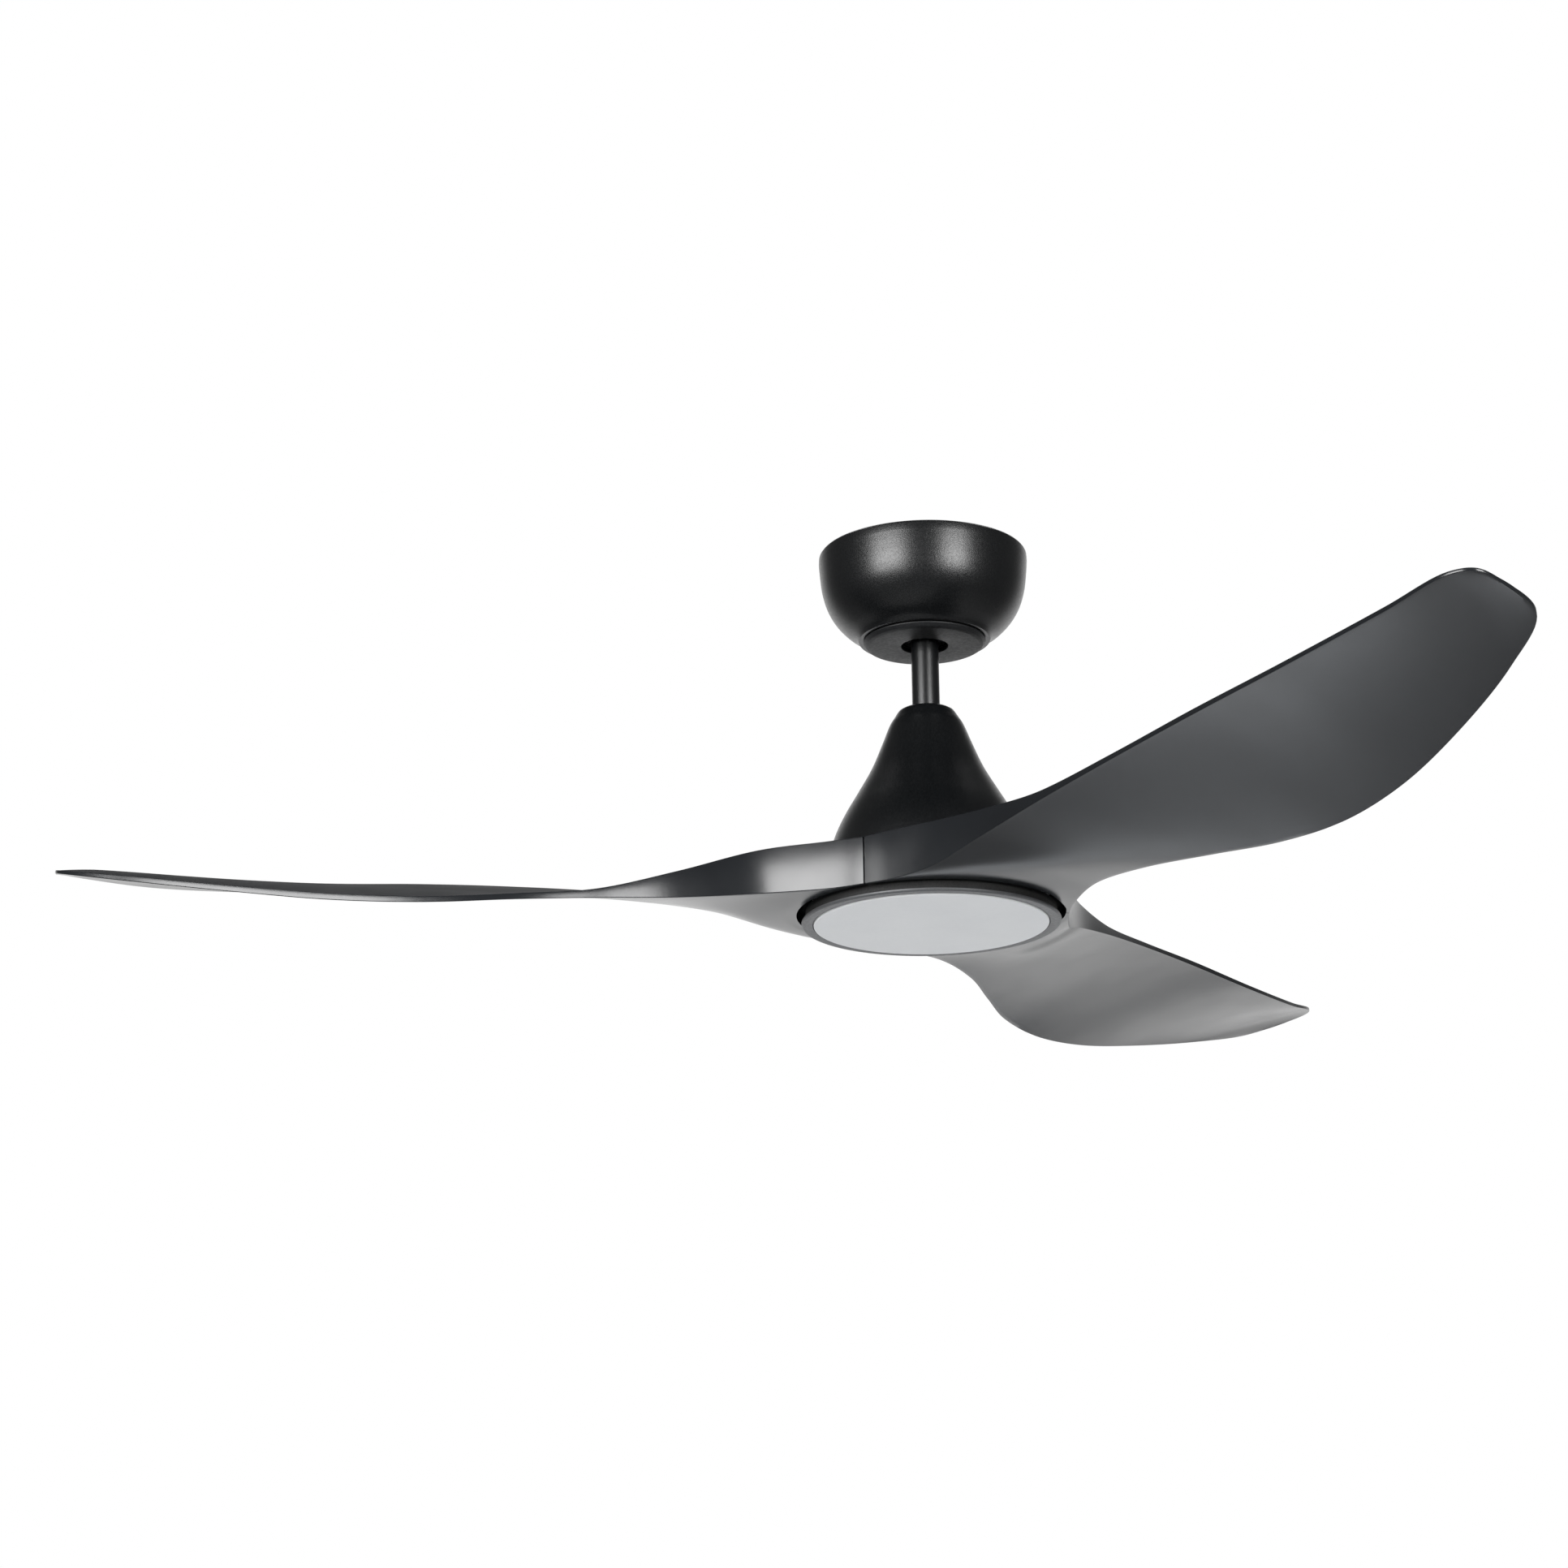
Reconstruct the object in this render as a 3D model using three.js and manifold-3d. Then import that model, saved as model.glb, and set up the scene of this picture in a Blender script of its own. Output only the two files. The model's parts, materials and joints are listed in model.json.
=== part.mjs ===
// Ceiling fan with light, in millimetres, +Z up.
// The origin is on the ceiling plane, where the fan's axis meets it, so the whole fan hangs below z = 0.
// Three sculpted blades meet at a hub round the motor; the cone above the motor and the light below it stand still.

import * as THREE from "three";
import { mergeVertices } from "three/addons/utils/BufferGeometryUtils.js";
import Module from "manifold-3d";

const wasm = await Module();
wasm.setup();

// Driving dimensions.
const DROP = 291; // ceiling to the lower face of the diffuser
const CLEARANCE = 0.3; // between pieces that touch on the real fan

const BLADES = 3;
const FIRST_BLADE_ANGLE = -57.6; // degrees from +X, seen from above
const HUB_RADIUS = 102; // outer wall of the blade roots, at the seams
const HUB_BORE = 78; // opening in the top of the hub, round the motor cover
const HUB_CAVITY = 99.5; // opening in the underside of the hub, round the light
const HUB_BOTTOM = 8.5; // heights are measured up from the face of the diffuser
const HUB_HEIGHT = 35;
const HUB_TOP_PLATE = 5;
const SEAM_GAP = 0.8; // between neighbouring blade roots

const ROD_RADIUS = 10.4;
const ROD_WALL = 1.8;
const ROD_FOOT = 124;
const BALL_RADIUS = 21;
const BALL_DEPTH = 42; // centre of the hanger ball below the ceiling
const BALL_HALF_HEIGHT = 15.5;
const ROD_TOP = DROP - BALL_DEPTH + 20;

const PLATE_RADIUS = 60; // round ends of the bracket's ceiling plate
const PLATE_HALF_WIDTH = 33;
const PLATE_THICKNESS = 2.5;
const LEG_X = 30; // the two legs of the bracket
const LEG_THICKNESS = 3;
const LEG_WIDTH = 30;
const SEAT_DEPTH = 58; // top of the plate that the ball rests in
const SEAT_THICKNESS = 3;
const SEAT_HOLE = 14.3;
const CANOPY_SCREWS = [
  [23, 19],
  [-23, -19],
];

const CANOPY_FLOOR = 222.5;
const CANOPY_WALL = 2;
const TRIM_FACE = 218;
const TRIM_RADIUS = 46.2;
const TRIM_HOLE = 17.8;
const TRIM_TWIST = 12; // degrees from locked to free

const COUPLING_RADIUS = 16;
const COUPLING_PIN_HEIGHT = 140;
const SET_SCREW_HEIGHT = 131;
const CLIP_X = 18.4;

const SHAFT_RADIUS = 8;
const SHAFT_BORE = 5;
const SHAFT_FOOT = 14;
const SHAFT_TOP = 120;
const CAN_RADIUS = 61; // outside of the rotor
const ROTOR_FLOOR = 28;
const ROTOR_LID = 58;
const ROTOR_PLATE = 2.5;
const FLANGE_RADIUS = 72;
const BEARING_RADIUS = 17.5;
const BEARING_WIDTH = 9;
const LOWER_BEARING = 25.4;
const UPPER_BEARING = 53.6;
const BOSS_INNER = BEARING_RADIUS + CLEARANCE;
const BOSS_OUTER = 21;
const CORE_BOTTOM = 35;
const CORE_TOP = 53;
const TEETH = 9;
const TOOTH_WIDTH = 7;
const TOOTH_TIP = 51.5;
const ROTOR_SCREW_RADIUS = 56;
const ROTOR_SCREW_ANGLES = [20, 140, 260];

const CARRIER_BOTTOM = ROTOR_FLOOR + ROTOR_PLATE + CLEARANCE;
const CARRIER_THICKNESS = 3;
const CARRIER_RADIUS = 96;
const CARRIER_SCREW_RADIUS = 66.5;
const CARRIER_SCREW_ANGLES = [60, 180, 300];
const BLADE_SCREW_RADIUS = 88;
const BLADE_SCREW_ANGLES = [-36, 0, 36];

const COVER_TOP = 167.2;
const COVER_WALL = 2.5;
const COVER_PLATE_HEIGHT = 66;
const COVER_PLATE_RADIUS = 65.6;

const DIFFUSER_RADIUS = 87;
const DIFFUSER_WALL = 2;
const DIFFUSER_TWIST = 15; // degrees from locked to free
const BEZEL_RADIUS = 95.8;
const BEZEL_WALL_RADIUS = 92.8;
const HOUSING_RADIUS = 90.2;
const PAN_FLOOR = 10.3;
const MOUNT_PLATE = 18;
const LIGHT_SCREW_RADIUS = 40;
const LIGHT_SCREW_ANGLES = [30, 150, 270];

// The lower edge of a blade, from the hub seam outwards, in the blade's own frame:
// x along the blade, y across it with the leading edge at -y, z above the diffuser's face,
// then the height of the upright edge band above that point.
const LEADING_EDGE = [
  [70.5, -78, 8.5, 36],
  [102, -64.5, 11.5, 33],
  [148, -52, 23.5, 19.5],
  [212.5, -46, 33, 6.8],
  [295, -42.5, 40.5, 3.8],
  [387, -43.5, 44.5, 3.8],
  [486, -50, 44.5, 3.3],
  [585, -49.5, 49.5, 3],
  [637, -44.5, 56, 2.4],
  [650.5, -34, 56, 2.2],
];
const TRAILING_EDGE = [
  [74.5, 76.5, 8.5, 35.5],
  [127, 61, 9.5, 32.5],
  [184, 63, 7, 20],
  [242, 77.5, 3.5, 7],
  [299, 91, -0.5, 4.5],
  [363, 93.5, -2.5, 4.5],
  [431, 86, 2, 5],
  [503, 70.5, 13, 4.6],
  [588, 44.5, 29.5, 4],
  [641, 18.5, 42.5, 2.8],
];
const BLADE_TIP = [651, -15, 51.5, 2.4];
// Across the blade at the seam and at each of those stations: how far the row bows outwards,
// how far the top is domed, and how far the underside is hollowed.
const ROW_SHAPE = [
  [51, 0, 0],
  [38, 0, 0],
  [22, 0, 0],
  [8, 0, 0],
  [2, 0, 0],
  [0, 0, 1],
  [0, 3, 3],
  [0, 6, 4.5],
  [3, 6, 4.5],
  [9, 3.5, 3],
  [6, 0, 0],
];
const ROWS_PER_STATION = 4;
const COLUMNS = 8;

const radians = THREE.MathUtils.degToRad;
const level = (height) => height - DROP;
const polar = (radius, degrees) =>
  new THREE.Vector2(radius * Math.cos(radians(degrees)), radius * Math.sin(radians(degrees)));

// ---- Solids ----

function bare(geometry) {
  const plain = geometry.clone();
  plain.deleteAttribute("normal");
  plain.deleteAttribute("uv");
  return mergeVertices(plain, 1e-4);
}

function solidOf(geometry) {
  const merged = bare(geometry);
  return new wasm.Manifold(
    new wasm.Mesh({
      numProp: 3,
      vertProperties: new Float32Array(merged.attributes.position.array),
      triVerts: new Uint32Array(merged.index.array),
    }),
  );
}

function geometryOf(solid) {
  const mesh = solid.getMesh();
  return new THREE.BufferGeometry()
    .setAttribute("position", new THREE.BufferAttribute(mesh.vertProperties, 3))
    .setIndex(new THREE.BufferAttribute(mesh.triVerts, 1));
}

const cut = (body, ...tools) =>
  geometryOf(tools.reduce((left, tool) => left.subtract(solidOf(tool)), solidOf(body)));

const join = (...pieces) =>
  geometryOf(pieces.slice(1).reduce((all, piece) => all.add(solidOf(piece)), solidOf(pieces[0])));

// A profile of [radius, height] points turned round the Z axis.
function turned(profile, segments = 20) {
  const closed = profile[0][0] === 0 ? profile : [...profile, profile[0]];
  const points = closed.map(([radius, height]) => new THREE.Vector2(radius, height));
  const facingOut = THREE.ShapeUtils.area(points) > 0 ? points : points.reverse();
  return new THREE.LatheGeometry(facingOut, segments).rotateX(Math.PI / 2);
}

const ring = (inner, outer, bottom, top, segments) =>
  turned(
    [
      [inner, bottom],
      [outer, bottom],
      [outer, top],
      [inner, top],
    ],
    segments,
  );

const disc = (radius, bottom, top, segments) =>
  turned(
    [
      [0, bottom],
      [radius, bottom],
      [radius, top],
      [0, top],
    ],
    segments,
  );

function block(xs, ys, zs) {
  const box = new THREE.BoxGeometry(xs[1] - xs[0], ys[1] - ys[0], zs[1] - zs[0]);
  return box.translate((xs[0] + xs[1]) / 2, (ys[0] + ys[1]) / 2, (zs[0] + zs[1]) / 2);
}

// A piece of a flat ring between two angles in degrees.
function sector(inner, outer, bottom, top, from, to) {
  const shape = new THREE.Shape();
  shape.absarc(0, 0, outer, radians(from), radians(to), false);
  shape.absarc(0, 0, inner, radians(to), radians(from), true);
  const depth = top - bottom;
  const curveSegments = Math.ceil((to - from) / 25);
  return new THREE.ExtrudeGeometry(shape, { depth, bevelEnabled: false, curveSegments }).translate(
    0,
    0,
    bottom,
  );
}

// A wire or cable of six sides along a route.
function alongRoute(route, radius, steps) {
  const corners = [0, 60, 120, 180, 240, 300].map((angle) => polar(radius, angle));
  return new THREE.ExtrudeGeometry(new THREE.Shape(corners), { extrudePath: route, steps });
}

function hexagon(acrossCorners, bottom, top) {
  return disc(acrossCorners / 2, bottom, top, 6);
}

// Three copies of a piece, a third of a turn apart.
const thrice = (piece) =>
  [0, 120, 240].map((angle) => piece.clone().rotateZ(radians(angle)));

// A screw that stands on the Z axis with its head down: the head's underside is at z = 0.
function screwShape(shank, length, head, headHeight) {
  return turned(
    [
      [0, -headHeight],
      [head * 0.8, -headHeight],
      [head, 0],
      [shank, 0],
      [shank, length],
      [0, length],
    ],
    8,
  );
}

// ---- Materials ----

const finish = (color, roughness, metalness) => ({ color, roughness, metalness });
const BLACK_COAT = finish(0x17181a, 0.5, 0.3);
const BLACK_BLADE = finish(0x1b1d20, 0.35, 0.2);
const GREY_BEZEL = finish(0x4b4d50, 0.45, 0.5);
const OPAL = finish(0xe8e8e4, 0.35, 0);
const ZINC = finish(0xa9adb0, 0.4, 0.9);
const ALUMINIUM = finish(0xb9bcbe, 0.45, 0.9);
const DARK_STEEL = finish(0x55585c, 0.5, 0.8);
const COPPER = finish(0xb26a3c, 0.35, 0.9);
const FERRITE = finish(0x34353a, 0.8, 0.1);
const RUBBER = finish(0x1a1a1a, 0.9, 0);
const PLASTIC = finish(0xd8d8d2, 0.55, 0);
const BOARD = finish(0xf1f1ee, 0.5, 0);
const CABLE = finish(0x2a2a2c, 0.7, 0);

function node(name, geometry, look) {
  const mesh = new THREE.Mesh(geometry, new THREE.MeshStandardMaterial(look));
  mesh.name = name;
  return mesh;
}

// ---- Hanging bracket and canopy ----

function ceilingBracket() {
  const seatTop = -SEAT_DEPTH;
  const seatBottom = seatTop - SEAT_THICKNESS;
  const plate = disc(PLATE_RADIUS, -PLATE_THICKNESS, 0, 28);
  const besidePlate = [-1, 1].map((side) =>
    block(
      [side < 0 ? -PLATE_RADIUS - 1 : PLATE_HALF_WIDTH, side < 0 ? -PLATE_HALF_WIDTH : PLATE_RADIUS + 1],
      [-PLATE_RADIUS, PLATE_RADIUS],
      [-PLATE_THICKNESS - 1, 1],
    ),
  );
  const legs = [-1, 1].map((side) =>
    block(
      [side * LEG_X - LEG_THICKNESS / 2, side * LEG_X + LEG_THICKNESS / 2],
      [-LEG_WIDTH / 2, LEG_WIDTH / 2],
      [seatBottom, -PLATE_THICKNESS / 2],
    ),
  );
  const seat = block([-LEG_X, LEG_X], [-25, 25], [seatBottom, seatTop]);
  const keyTab = block([-2, 2], [BALL_RADIUS - 1.4, 24.5], [seatTop - 1, -BALL_DEPTH]);
  const slots = [-1, 1].map((side) =>
    block([-2.8, 2.8], [side * 40 - 8, side * 40 + 8], [-PLATE_THICKNESS - 1, 1]),
  );
  const wireWay = disc(8, -PLATE_THICKNESS - 1, 1, 20).translate(0, -20, 0);
  const ballHole = disc(SEAT_HOLE, seatBottom - 1, seatTop + 1);
  const screwHoles = CANOPY_SCREWS.map(([x, y]) =>
    disc(2.4, seatBottom - 1, seatTop + 1, 8).translate(x, y, 0),
  );
  const strap = cut(plate, ...besidePlate);
  return cut(join(strap, ...legs, seat, keyTab), ...slots, wireWay, ballHole, ...screwHoles);
}

function canopy() {
  const bowl = [
    [49.6, CANOPY_FLOOR],
    [51.8, 225.5],
    [59.6, 231.5],
    [67.4, 240],
    [73.1, 250],
    [76.7, 262],
    [78.4, 275],
    [79.1, 284],
  ].map(([radius, height]) => new THREE.Vector2(radius, level(height)));
  const outside = new THREE.SplineCurve(bowl).getPoints(8).map((point) => [point.x, point.y]);
  const inside = outside
    .filter((_, i) => i % 2 === 1)
    .reverse()
    .map(([radius, height]) => [radius - CANOPY_WALL, height + 0.8]);
  const shell = turned(
    [
      [20, level(CANOPY_FLOOR)],
      ...outside,
      [78.9, level(288.5)],
      [77.9, level(290)],
      [76.4, level(290)],
      ...inside,
      [46.5, level(CANOPY_FLOOR + CANOPY_WALL)],
      [20, level(CANOPY_FLOOR + CANOPY_WALL)],
    ],
    32,
  );
  const holes = CANOPY_SCREWS.map(([x, y]) =>
    disc(2.4, level(CANOPY_FLOOR - 1), level(CANOPY_FLOOR + 4), 8).translate(x, y, 0),
  );
  const floorLow = level(CANOPY_FLOOR - 1);
  const floorHigh = level(CANOPY_FLOOR + CANOPY_WALL + 1);
  const lugSlots = thrice(sector(36.4, 41.6, floorLow, floorHigh, -7, 7 + TRIM_TWIST));
  const lugEntries = thrice(
    sector(36.4, 43.6, floorLow, floorHigh, TRIM_TWIST - 7, 7 + TRIM_TWIST),
  );
  return cut(shell, ...holes, ...lugSlots, ...lugEntries);
}

function canopyTrimRing() {
  const face = turned(
    [
      [TRIM_HOLE, level(TRIM_FACE)],
      [TRIM_RADIUS - 4.8, level(TRIM_FACE)],
      [TRIM_RADIUS - 2, level(TRIM_FACE + 0.8)],
      [TRIM_RADIUS, level(TRIM_FACE + 3)],
      [TRIM_RADIUS, level(TRIM_FACE + 4.2)],
      [TRIM_RADIUS - 3.6, level(TRIM_FACE + 2)],
      [TRIM_HOLE, level(TRIM_FACE + 2)],
    ],
    32,
  );
  const stemFoot = level(TRIM_FACE + 1.5);
  const hookTop = level(CANOPY_FLOOR + CANOPY_WALL + 1.9);
  const hookFoot = level(CANOPY_FLOOR + CANOPY_WALL + CLEARANCE);
  const stems = thrice(sector(37, 41, stemFoot, hookTop, -5, 5));
  const hooks = thrice(sector(37, 43, hookFoot, hookTop, -5, 5));
  return join(face, ...stems, ...hooks);
}

function receiverBox() {
  const width = 40;
  const near = 29;
  const far = 54;
  const top = -PLATE_THICKNESS - CLEARANCE;
  const corner = 4;
  const outline = new THREE.Shape([
    new THREE.Vector2(-width + corner, near),
    new THREE.Vector2(width - corner, near),
    new THREE.Vector2(width, near + corner),
    new THREE.Vector2(width, far - corner),
    new THREE.Vector2(width - corner, far),
    new THREE.Vector2(-width + corner, far),
    new THREE.Vector2(-width, far - corner),
    new THREE.Vector2(-width, near + corner),
  ]);
  const depth = 24;
  return new THREE.ExtrudeGeometry(outline, { depth, bevelEnabled: false }).translate(0, 0, top - depth);
}

function terminalBlock() {
  const top = -PLATE_THICKNESS - CLEARANCE;
  const body = block([-18, 18], [-53, -37], [top - 14, top]);
  const bays = [-11, 0, 11].map((x) => block([x - 4, x + 4], [-54, -48], [top - 15, top - 6]));
  return cut(body, ...bays);
}

// ---- Ball, rod and coupling ----

// The ball's bore flares to both ends, so that the rod can rock on its cross pin.
function hangerBall() {
  const rim = Math.sqrt(BALL_RADIUS ** 2 - BALL_HALF_HEIGHT ** 2);
  const steps = 6;
  const outside = [];
  for (let i = 0; i <= steps; i++) {
    const height = -BALL_HALF_HEIGHT + (2 * BALL_HALF_HEIGHT * i) / steps;
    outside.push([Math.sqrt(BALL_RADIUS ** 2 - height ** 2), height]);
  }
  const ball = turned(
    [
      ...outside,
      [rim - 1.4, BALL_HALF_HEIGHT],
      [ROD_RADIUS + 0.5, 0],
      [rim - 1.4, -BALL_HALF_HEIGHT],
    ],
    24,
  );
  const pinSlot = block([-3.4, 3.4], [-17, 17], [-3.4, BALL_RADIUS]);
  const keyGroove = block([-2.6, 2.6], [17.4, BALL_RADIUS + 1], [-BALL_RADIUS, BALL_RADIUS]);
  return cut(ball, pinSlot, keyGroove).translate(0, 0, -BALL_DEPTH);
}

const crossPin = () =>
  disc(3, -16.3, 16.3, 16)
    .rotateX(Math.PI / 2)
    .translate(0, 0, -BALL_DEPTH);

function downrod() {
  const tube = ring(ROD_RADIUS - ROD_WALL, ROD_RADIUS, level(ROD_FOOT), level(ROD_TOP), 28);
  const topHole = disc(3.3, -20, 20, 8)
    .rotateX(Math.PI / 2)
    .translate(0, 0, -BALL_DEPTH);
  const footHole = disc(3.3, -20, 20, 8)
    .rotateY(Math.PI / 2)
    .translate(0, 0, level(COUPLING_PIN_HEIGHT));
  return cut(tube, topHole, footHole);
}

function motorCoupling() {
  const collar = turned(
    [
      [SHAFT_RADIUS + CLEARANCE, level(96)],
      [COUPLING_RADIUS, level(96)],
      [COUPLING_RADIUS, level(149)],
      [COUPLING_RADIUS - 1, level(150)],
      [ROD_RADIUS + CLEARANCE, level(150)],
      [ROD_RADIUS + CLEARANCE, level(122)],
      [SHAFT_RADIUS + CLEARANCE, level(122)],
    ],
    24,
  );
  const pinHole = disc(3.3, -20, 20, 8)
    .rotateY(Math.PI / 2)
    .translate(0, 0, level(COUPLING_PIN_HEIGHT));
  const screwHole = disc(3.3, -20, 20, 8)
    .rotateX(Math.PI / 2)
    .translate(0, 0, level(SET_SCREW_HEIGHT));
  return cut(collar, pinHole, screwHole);
}

function couplingPin() {
  const pin = turned(
    [
      [0, -19.5],
      [4.5, -19.5],
      [4.5, -COUPLING_RADIUS - CLEARANCE],
      [3, -COUPLING_RADIUS - CLEARANCE],
      [3, 20],
      [2.2, 21],
      [0, 21],
    ],
    16,
  ).rotateY(Math.PI / 2);
  const clipHole = disc(1.2, -5, 5, 10).translate(CLIP_X, 0, 0);
  return cut(pin, clipHole).translate(0, 0, level(COUPLING_PIN_HEIGHT));
}

// A hairpin of wire: one leg goes through the pin, the other springs round it.
function pinClip() {
  const route = new THREE.CatmullRomCurve3(
    [
      [0, -6.5],
      [0, 0],
      [0, 7],
      [1.2, 9.8],
      [3.6, 10],
      [4.6, 7.4],
      [3.9, 4.6],
      [4.4, 0],
      [3.9, -4.4],
      [5, -7],
    ].map(([y, z]) => new THREE.Vector3(CLIP_X, y, z)),
  );
  return alongRoute(route, 0.7, 18).translate(0, 0, level(COUPLING_PIN_HEIGHT));
}

// A headless screw that presses the rod from one side.
const setScrew = (side) =>
  turned(
    [
      [0, ROD_RADIUS + CLEARANCE],
      [2.2, ROD_RADIUS + CLEARANCE],
      [3, ROD_RADIUS + 1.2],
      [3, COUPLING_RADIUS + 0.8],
      [1.5, COUPLING_RADIUS + 0.8],
      [1.5, COUPLING_RADIUS - 1.2],
      [0, COUPLING_RADIUS - 1.2],
    ],
    12,
  )
    .rotateX((-side * Math.PI) / 2)
    .translate(0, 0, level(SET_SCREW_HEIGHT));

// The cable runs down inside the rod, past both cross pins, and into the bore of the shaft.
function motorCable() {
  const aside = 5.8;
  const route = new THREE.CatmullRomCurve3(
    [
      [aside, 0, ROD_TOP + 4],
      [aside, 0, 236],
      [aside * 0.7, aside * 0.7, 200],
      [0, aside, 165],
      [0, aside, 134],
      [0, 1.2, 117],
      [0, 0, 100],
      [0, 0, 60],
      [0, 0, 16],
    ].map(([x, y, height]) => new THREE.Vector3(x, y, level(height))),
  );
  return alongRoute(route, 2.2, 24);
}

// ---- Motor cover ----

function motorCover() {
  const slope = [
    [76.6, 46.5],
    [73, 60],
    [68.6, 72],
    [62.2, 85],
    [53.4, 100],
    [42.1, 120],
    [33.6, 140],
    [27.5, 155],
    [24.4, 160],
    [22.6, 163],
  ].map(([radius, height]) => new THREE.Vector2(radius, level(height)));
  const outside = new THREE.SplineCurve(slope).getPoints(10).map((point) => [point.x, point.y]);
  const inside = outside
    .filter((_, i) => i % 3 === 1)
    .reverse()
    .map(([radius, height]) => [radius - COVER_WALL, height - 0.9]);
  return turned(
    [
      ...outside,
      [21, level(165.3)],
      [18.6, level(166.8)],
      [16, level(COVER_TOP)],
      [ROD_RADIUS + 0.7, level(COVER_TOP)],
      [ROD_RADIUS + 0.7, level(COVER_TOP - 3)],
      [17.6, level(COVER_TOP - 4.2)],
      ...inside,
      [76.6 - COVER_WALL, level(46.5)],
    ],
    32,
  );
}

// A rubber ring on the rod, just under the mouth of the cover.
const coverGrommet = () =>
  turned(
    [
      [ROD_RADIUS + CLEARANCE, level(COVER_TOP - 14)],
      [16.5, level(COVER_TOP - 14)],
      [17.8, level(COVER_TOP - 12)],
      [16.4, level(COVER_TOP - 5)],
      [ROD_RADIUS + CLEARANCE, level(COVER_TOP - 5)],
    ],
    18,
  );

// The cover rests on the edge of this plate.
const coverPlate = () =>
  cut(
    ring(
      SHAFT_RADIUS + CLEARANCE,
      COVER_PLATE_RADIUS,
      level(COVER_PLATE_HEIGHT),
      level(COVER_PLATE_HEIGHT + 2),
      28,
    ),
    ...thrice(
      sector(
        30,
        52,
        level(COVER_PLATE_HEIGHT - 1),
        level(COVER_PLATE_HEIGHT + 3),
        10,
        80,
      ),
    ),
  );

function nut(bottom, height, acrossCorners) {
  return cut(
    hexagon(acrossCorners, level(bottom), level(bottom + height)),
    disc(SHAFT_RADIUS + CLEARANCE, level(bottom - 1), level(bottom + height + 1), 20),
  );
}

// ---- Motor ----

const motorShaft = () =>
  turned(
    [
      [SHAFT_BORE, level(SHAFT_FOOT)],
      [SHAFT_RADIUS, level(SHAFT_FOOT)],
      [SHAFT_RADIUS, level(CORE_BOTTOM)],
      [10, level(CORE_BOTTOM)],
      [10, level(CORE_TOP)],
      [SHAFT_RADIUS, level(CORE_TOP)],
      [SHAFT_RADIUS, level(SHAFT_TOP)],
      [SHAFT_BORE, level(SHAFT_TOP)],
    ],
    24,
  );

function aroundTeeth(piece) {
  const copies = [];
  for (let i = 0; i < TEETH; i++) copies.push(piece.clone().rotateZ((i * 2 * Math.PI) / TEETH));
  return copies;
}

function statorCore() {
  const heights = [level(CORE_BOTTOM), level(CORE_TOP)];
  const halfTooth = radians(360 / TEETH / 2);
  const outline = [];
  for (let i = 0; i < TEETH; i++) {
    const corners = [
      [29, -TOOTH_WIDTH / 2],
      [TOOTH_TIP - 4, -TOOTH_WIDTH / 2],
      [TOOTH_TIP - 2, -TOOTH_TIP * halfTooth * 0.85],
      [TOOTH_TIP, 0],
      [TOOTH_TIP - 2, TOOTH_TIP * halfTooth * 0.85],
      [TOOTH_TIP - 4, TOOTH_WIDTH / 2],
      [29, TOOTH_WIDTH / 2],
    ].map(([x, y]) => new THREE.Vector2(x, y).rotateAround(new THREE.Vector2(), 2 * i * halfTooth));
    outline.push(...corners);
  }
  const depth = CORE_TOP - CORE_BOTTOM;
  const star = new THREE.ExtrudeGeometry(new THREE.Shape(outline), { depth, bevelEnabled: false });
  return cut(star.translate(0, 0, heights[0]), disc(10 + CLEARANCE, heights[0] - 1, heights[1] + 1, 20));
}

// One coil round each tooth, joined by the ring of lead wire above the core.
function statorWindings() {
  const inner = TOOTH_WIDTH / 2 + CLEARANCE;
  const coil = cut(
    block([33, 46], [-inner - 4, inner + 4], [level(CORE_BOTTOM - 3), level(CORE_TOP + 3)]),
    block([32, 48], [-inner, inner], [level(CORE_BOTTOM) - CLEARANCE, level(CORE_TOP) + CLEARANCE]),
  );
  const leads = ring(34, 36.5, level(CORE_TOP + 1), level(CORE_TOP + 2.6), 24);
  return join(leads, ...aroundTeeth(coil));
}

function bearing(bottom) {
  const inner = SHAFT_RADIUS + CLEARANCE;
  const top = bottom + BEARING_WIDTH;
  return turned(
    [
      [inner, level(bottom)],
      [inner + 2, level(bottom)],
      [inner + 2.6, level(bottom + 0.6)],
      [BEARING_RADIUS - 2.6, level(bottom + 0.6)],
      [BEARING_RADIUS - 2, level(bottom)],
      [BEARING_RADIUS, level(bottom)],
      [BEARING_RADIUS, level(top)],
      [inner, level(top)],
    ],
    18,
  );
}

// The cup of the rotor, with the flange that carries the blades.
function rotorLowerShell() {
  const shell = turned(
    [
      [BOSS_INNER, level(LOWER_BEARING - 0.4)],
      [BOSS_OUTER, level(LOWER_BEARING - 0.4)],
      [BOSS_OUTER + 1, level(ROTOR_FLOOR)],
      [FLANGE_RADIUS, level(ROTOR_FLOOR)],
      [FLANGE_RADIUS, level(ROTOR_FLOOR + ROTOR_PLATE)],
      [CAN_RADIUS, level(ROTOR_FLOOR + ROTOR_PLATE)],
      [CAN_RADIUS, level(ROTOR_LID - CLEARANCE)],
      [CAN_RADIUS - 2.5, level(ROTOR_LID - CLEARANCE)],
      [CAN_RADIUS - 2.5, level(ROTOR_FLOOR + ROTOR_PLATE)],
      [BOSS_OUTER, level(ROTOR_FLOOR + ROTOR_PLATE)],
      [BOSS_INNER, level(ROTOR_FLOOR + ROTOR_PLATE)],
    ],
    26,
  );
  const holes = CARRIER_SCREW_ANGLES.map((angle) => {
    const place = polar(CARRIER_SCREW_RADIUS, angle);
    return disc(2.4, level(ROTOR_FLOOR - 1), level(ROTOR_FLOOR + 4), 8).translate(place.x, place.y, 0);
  });
  return cut(shell, ...holes);
}

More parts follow.
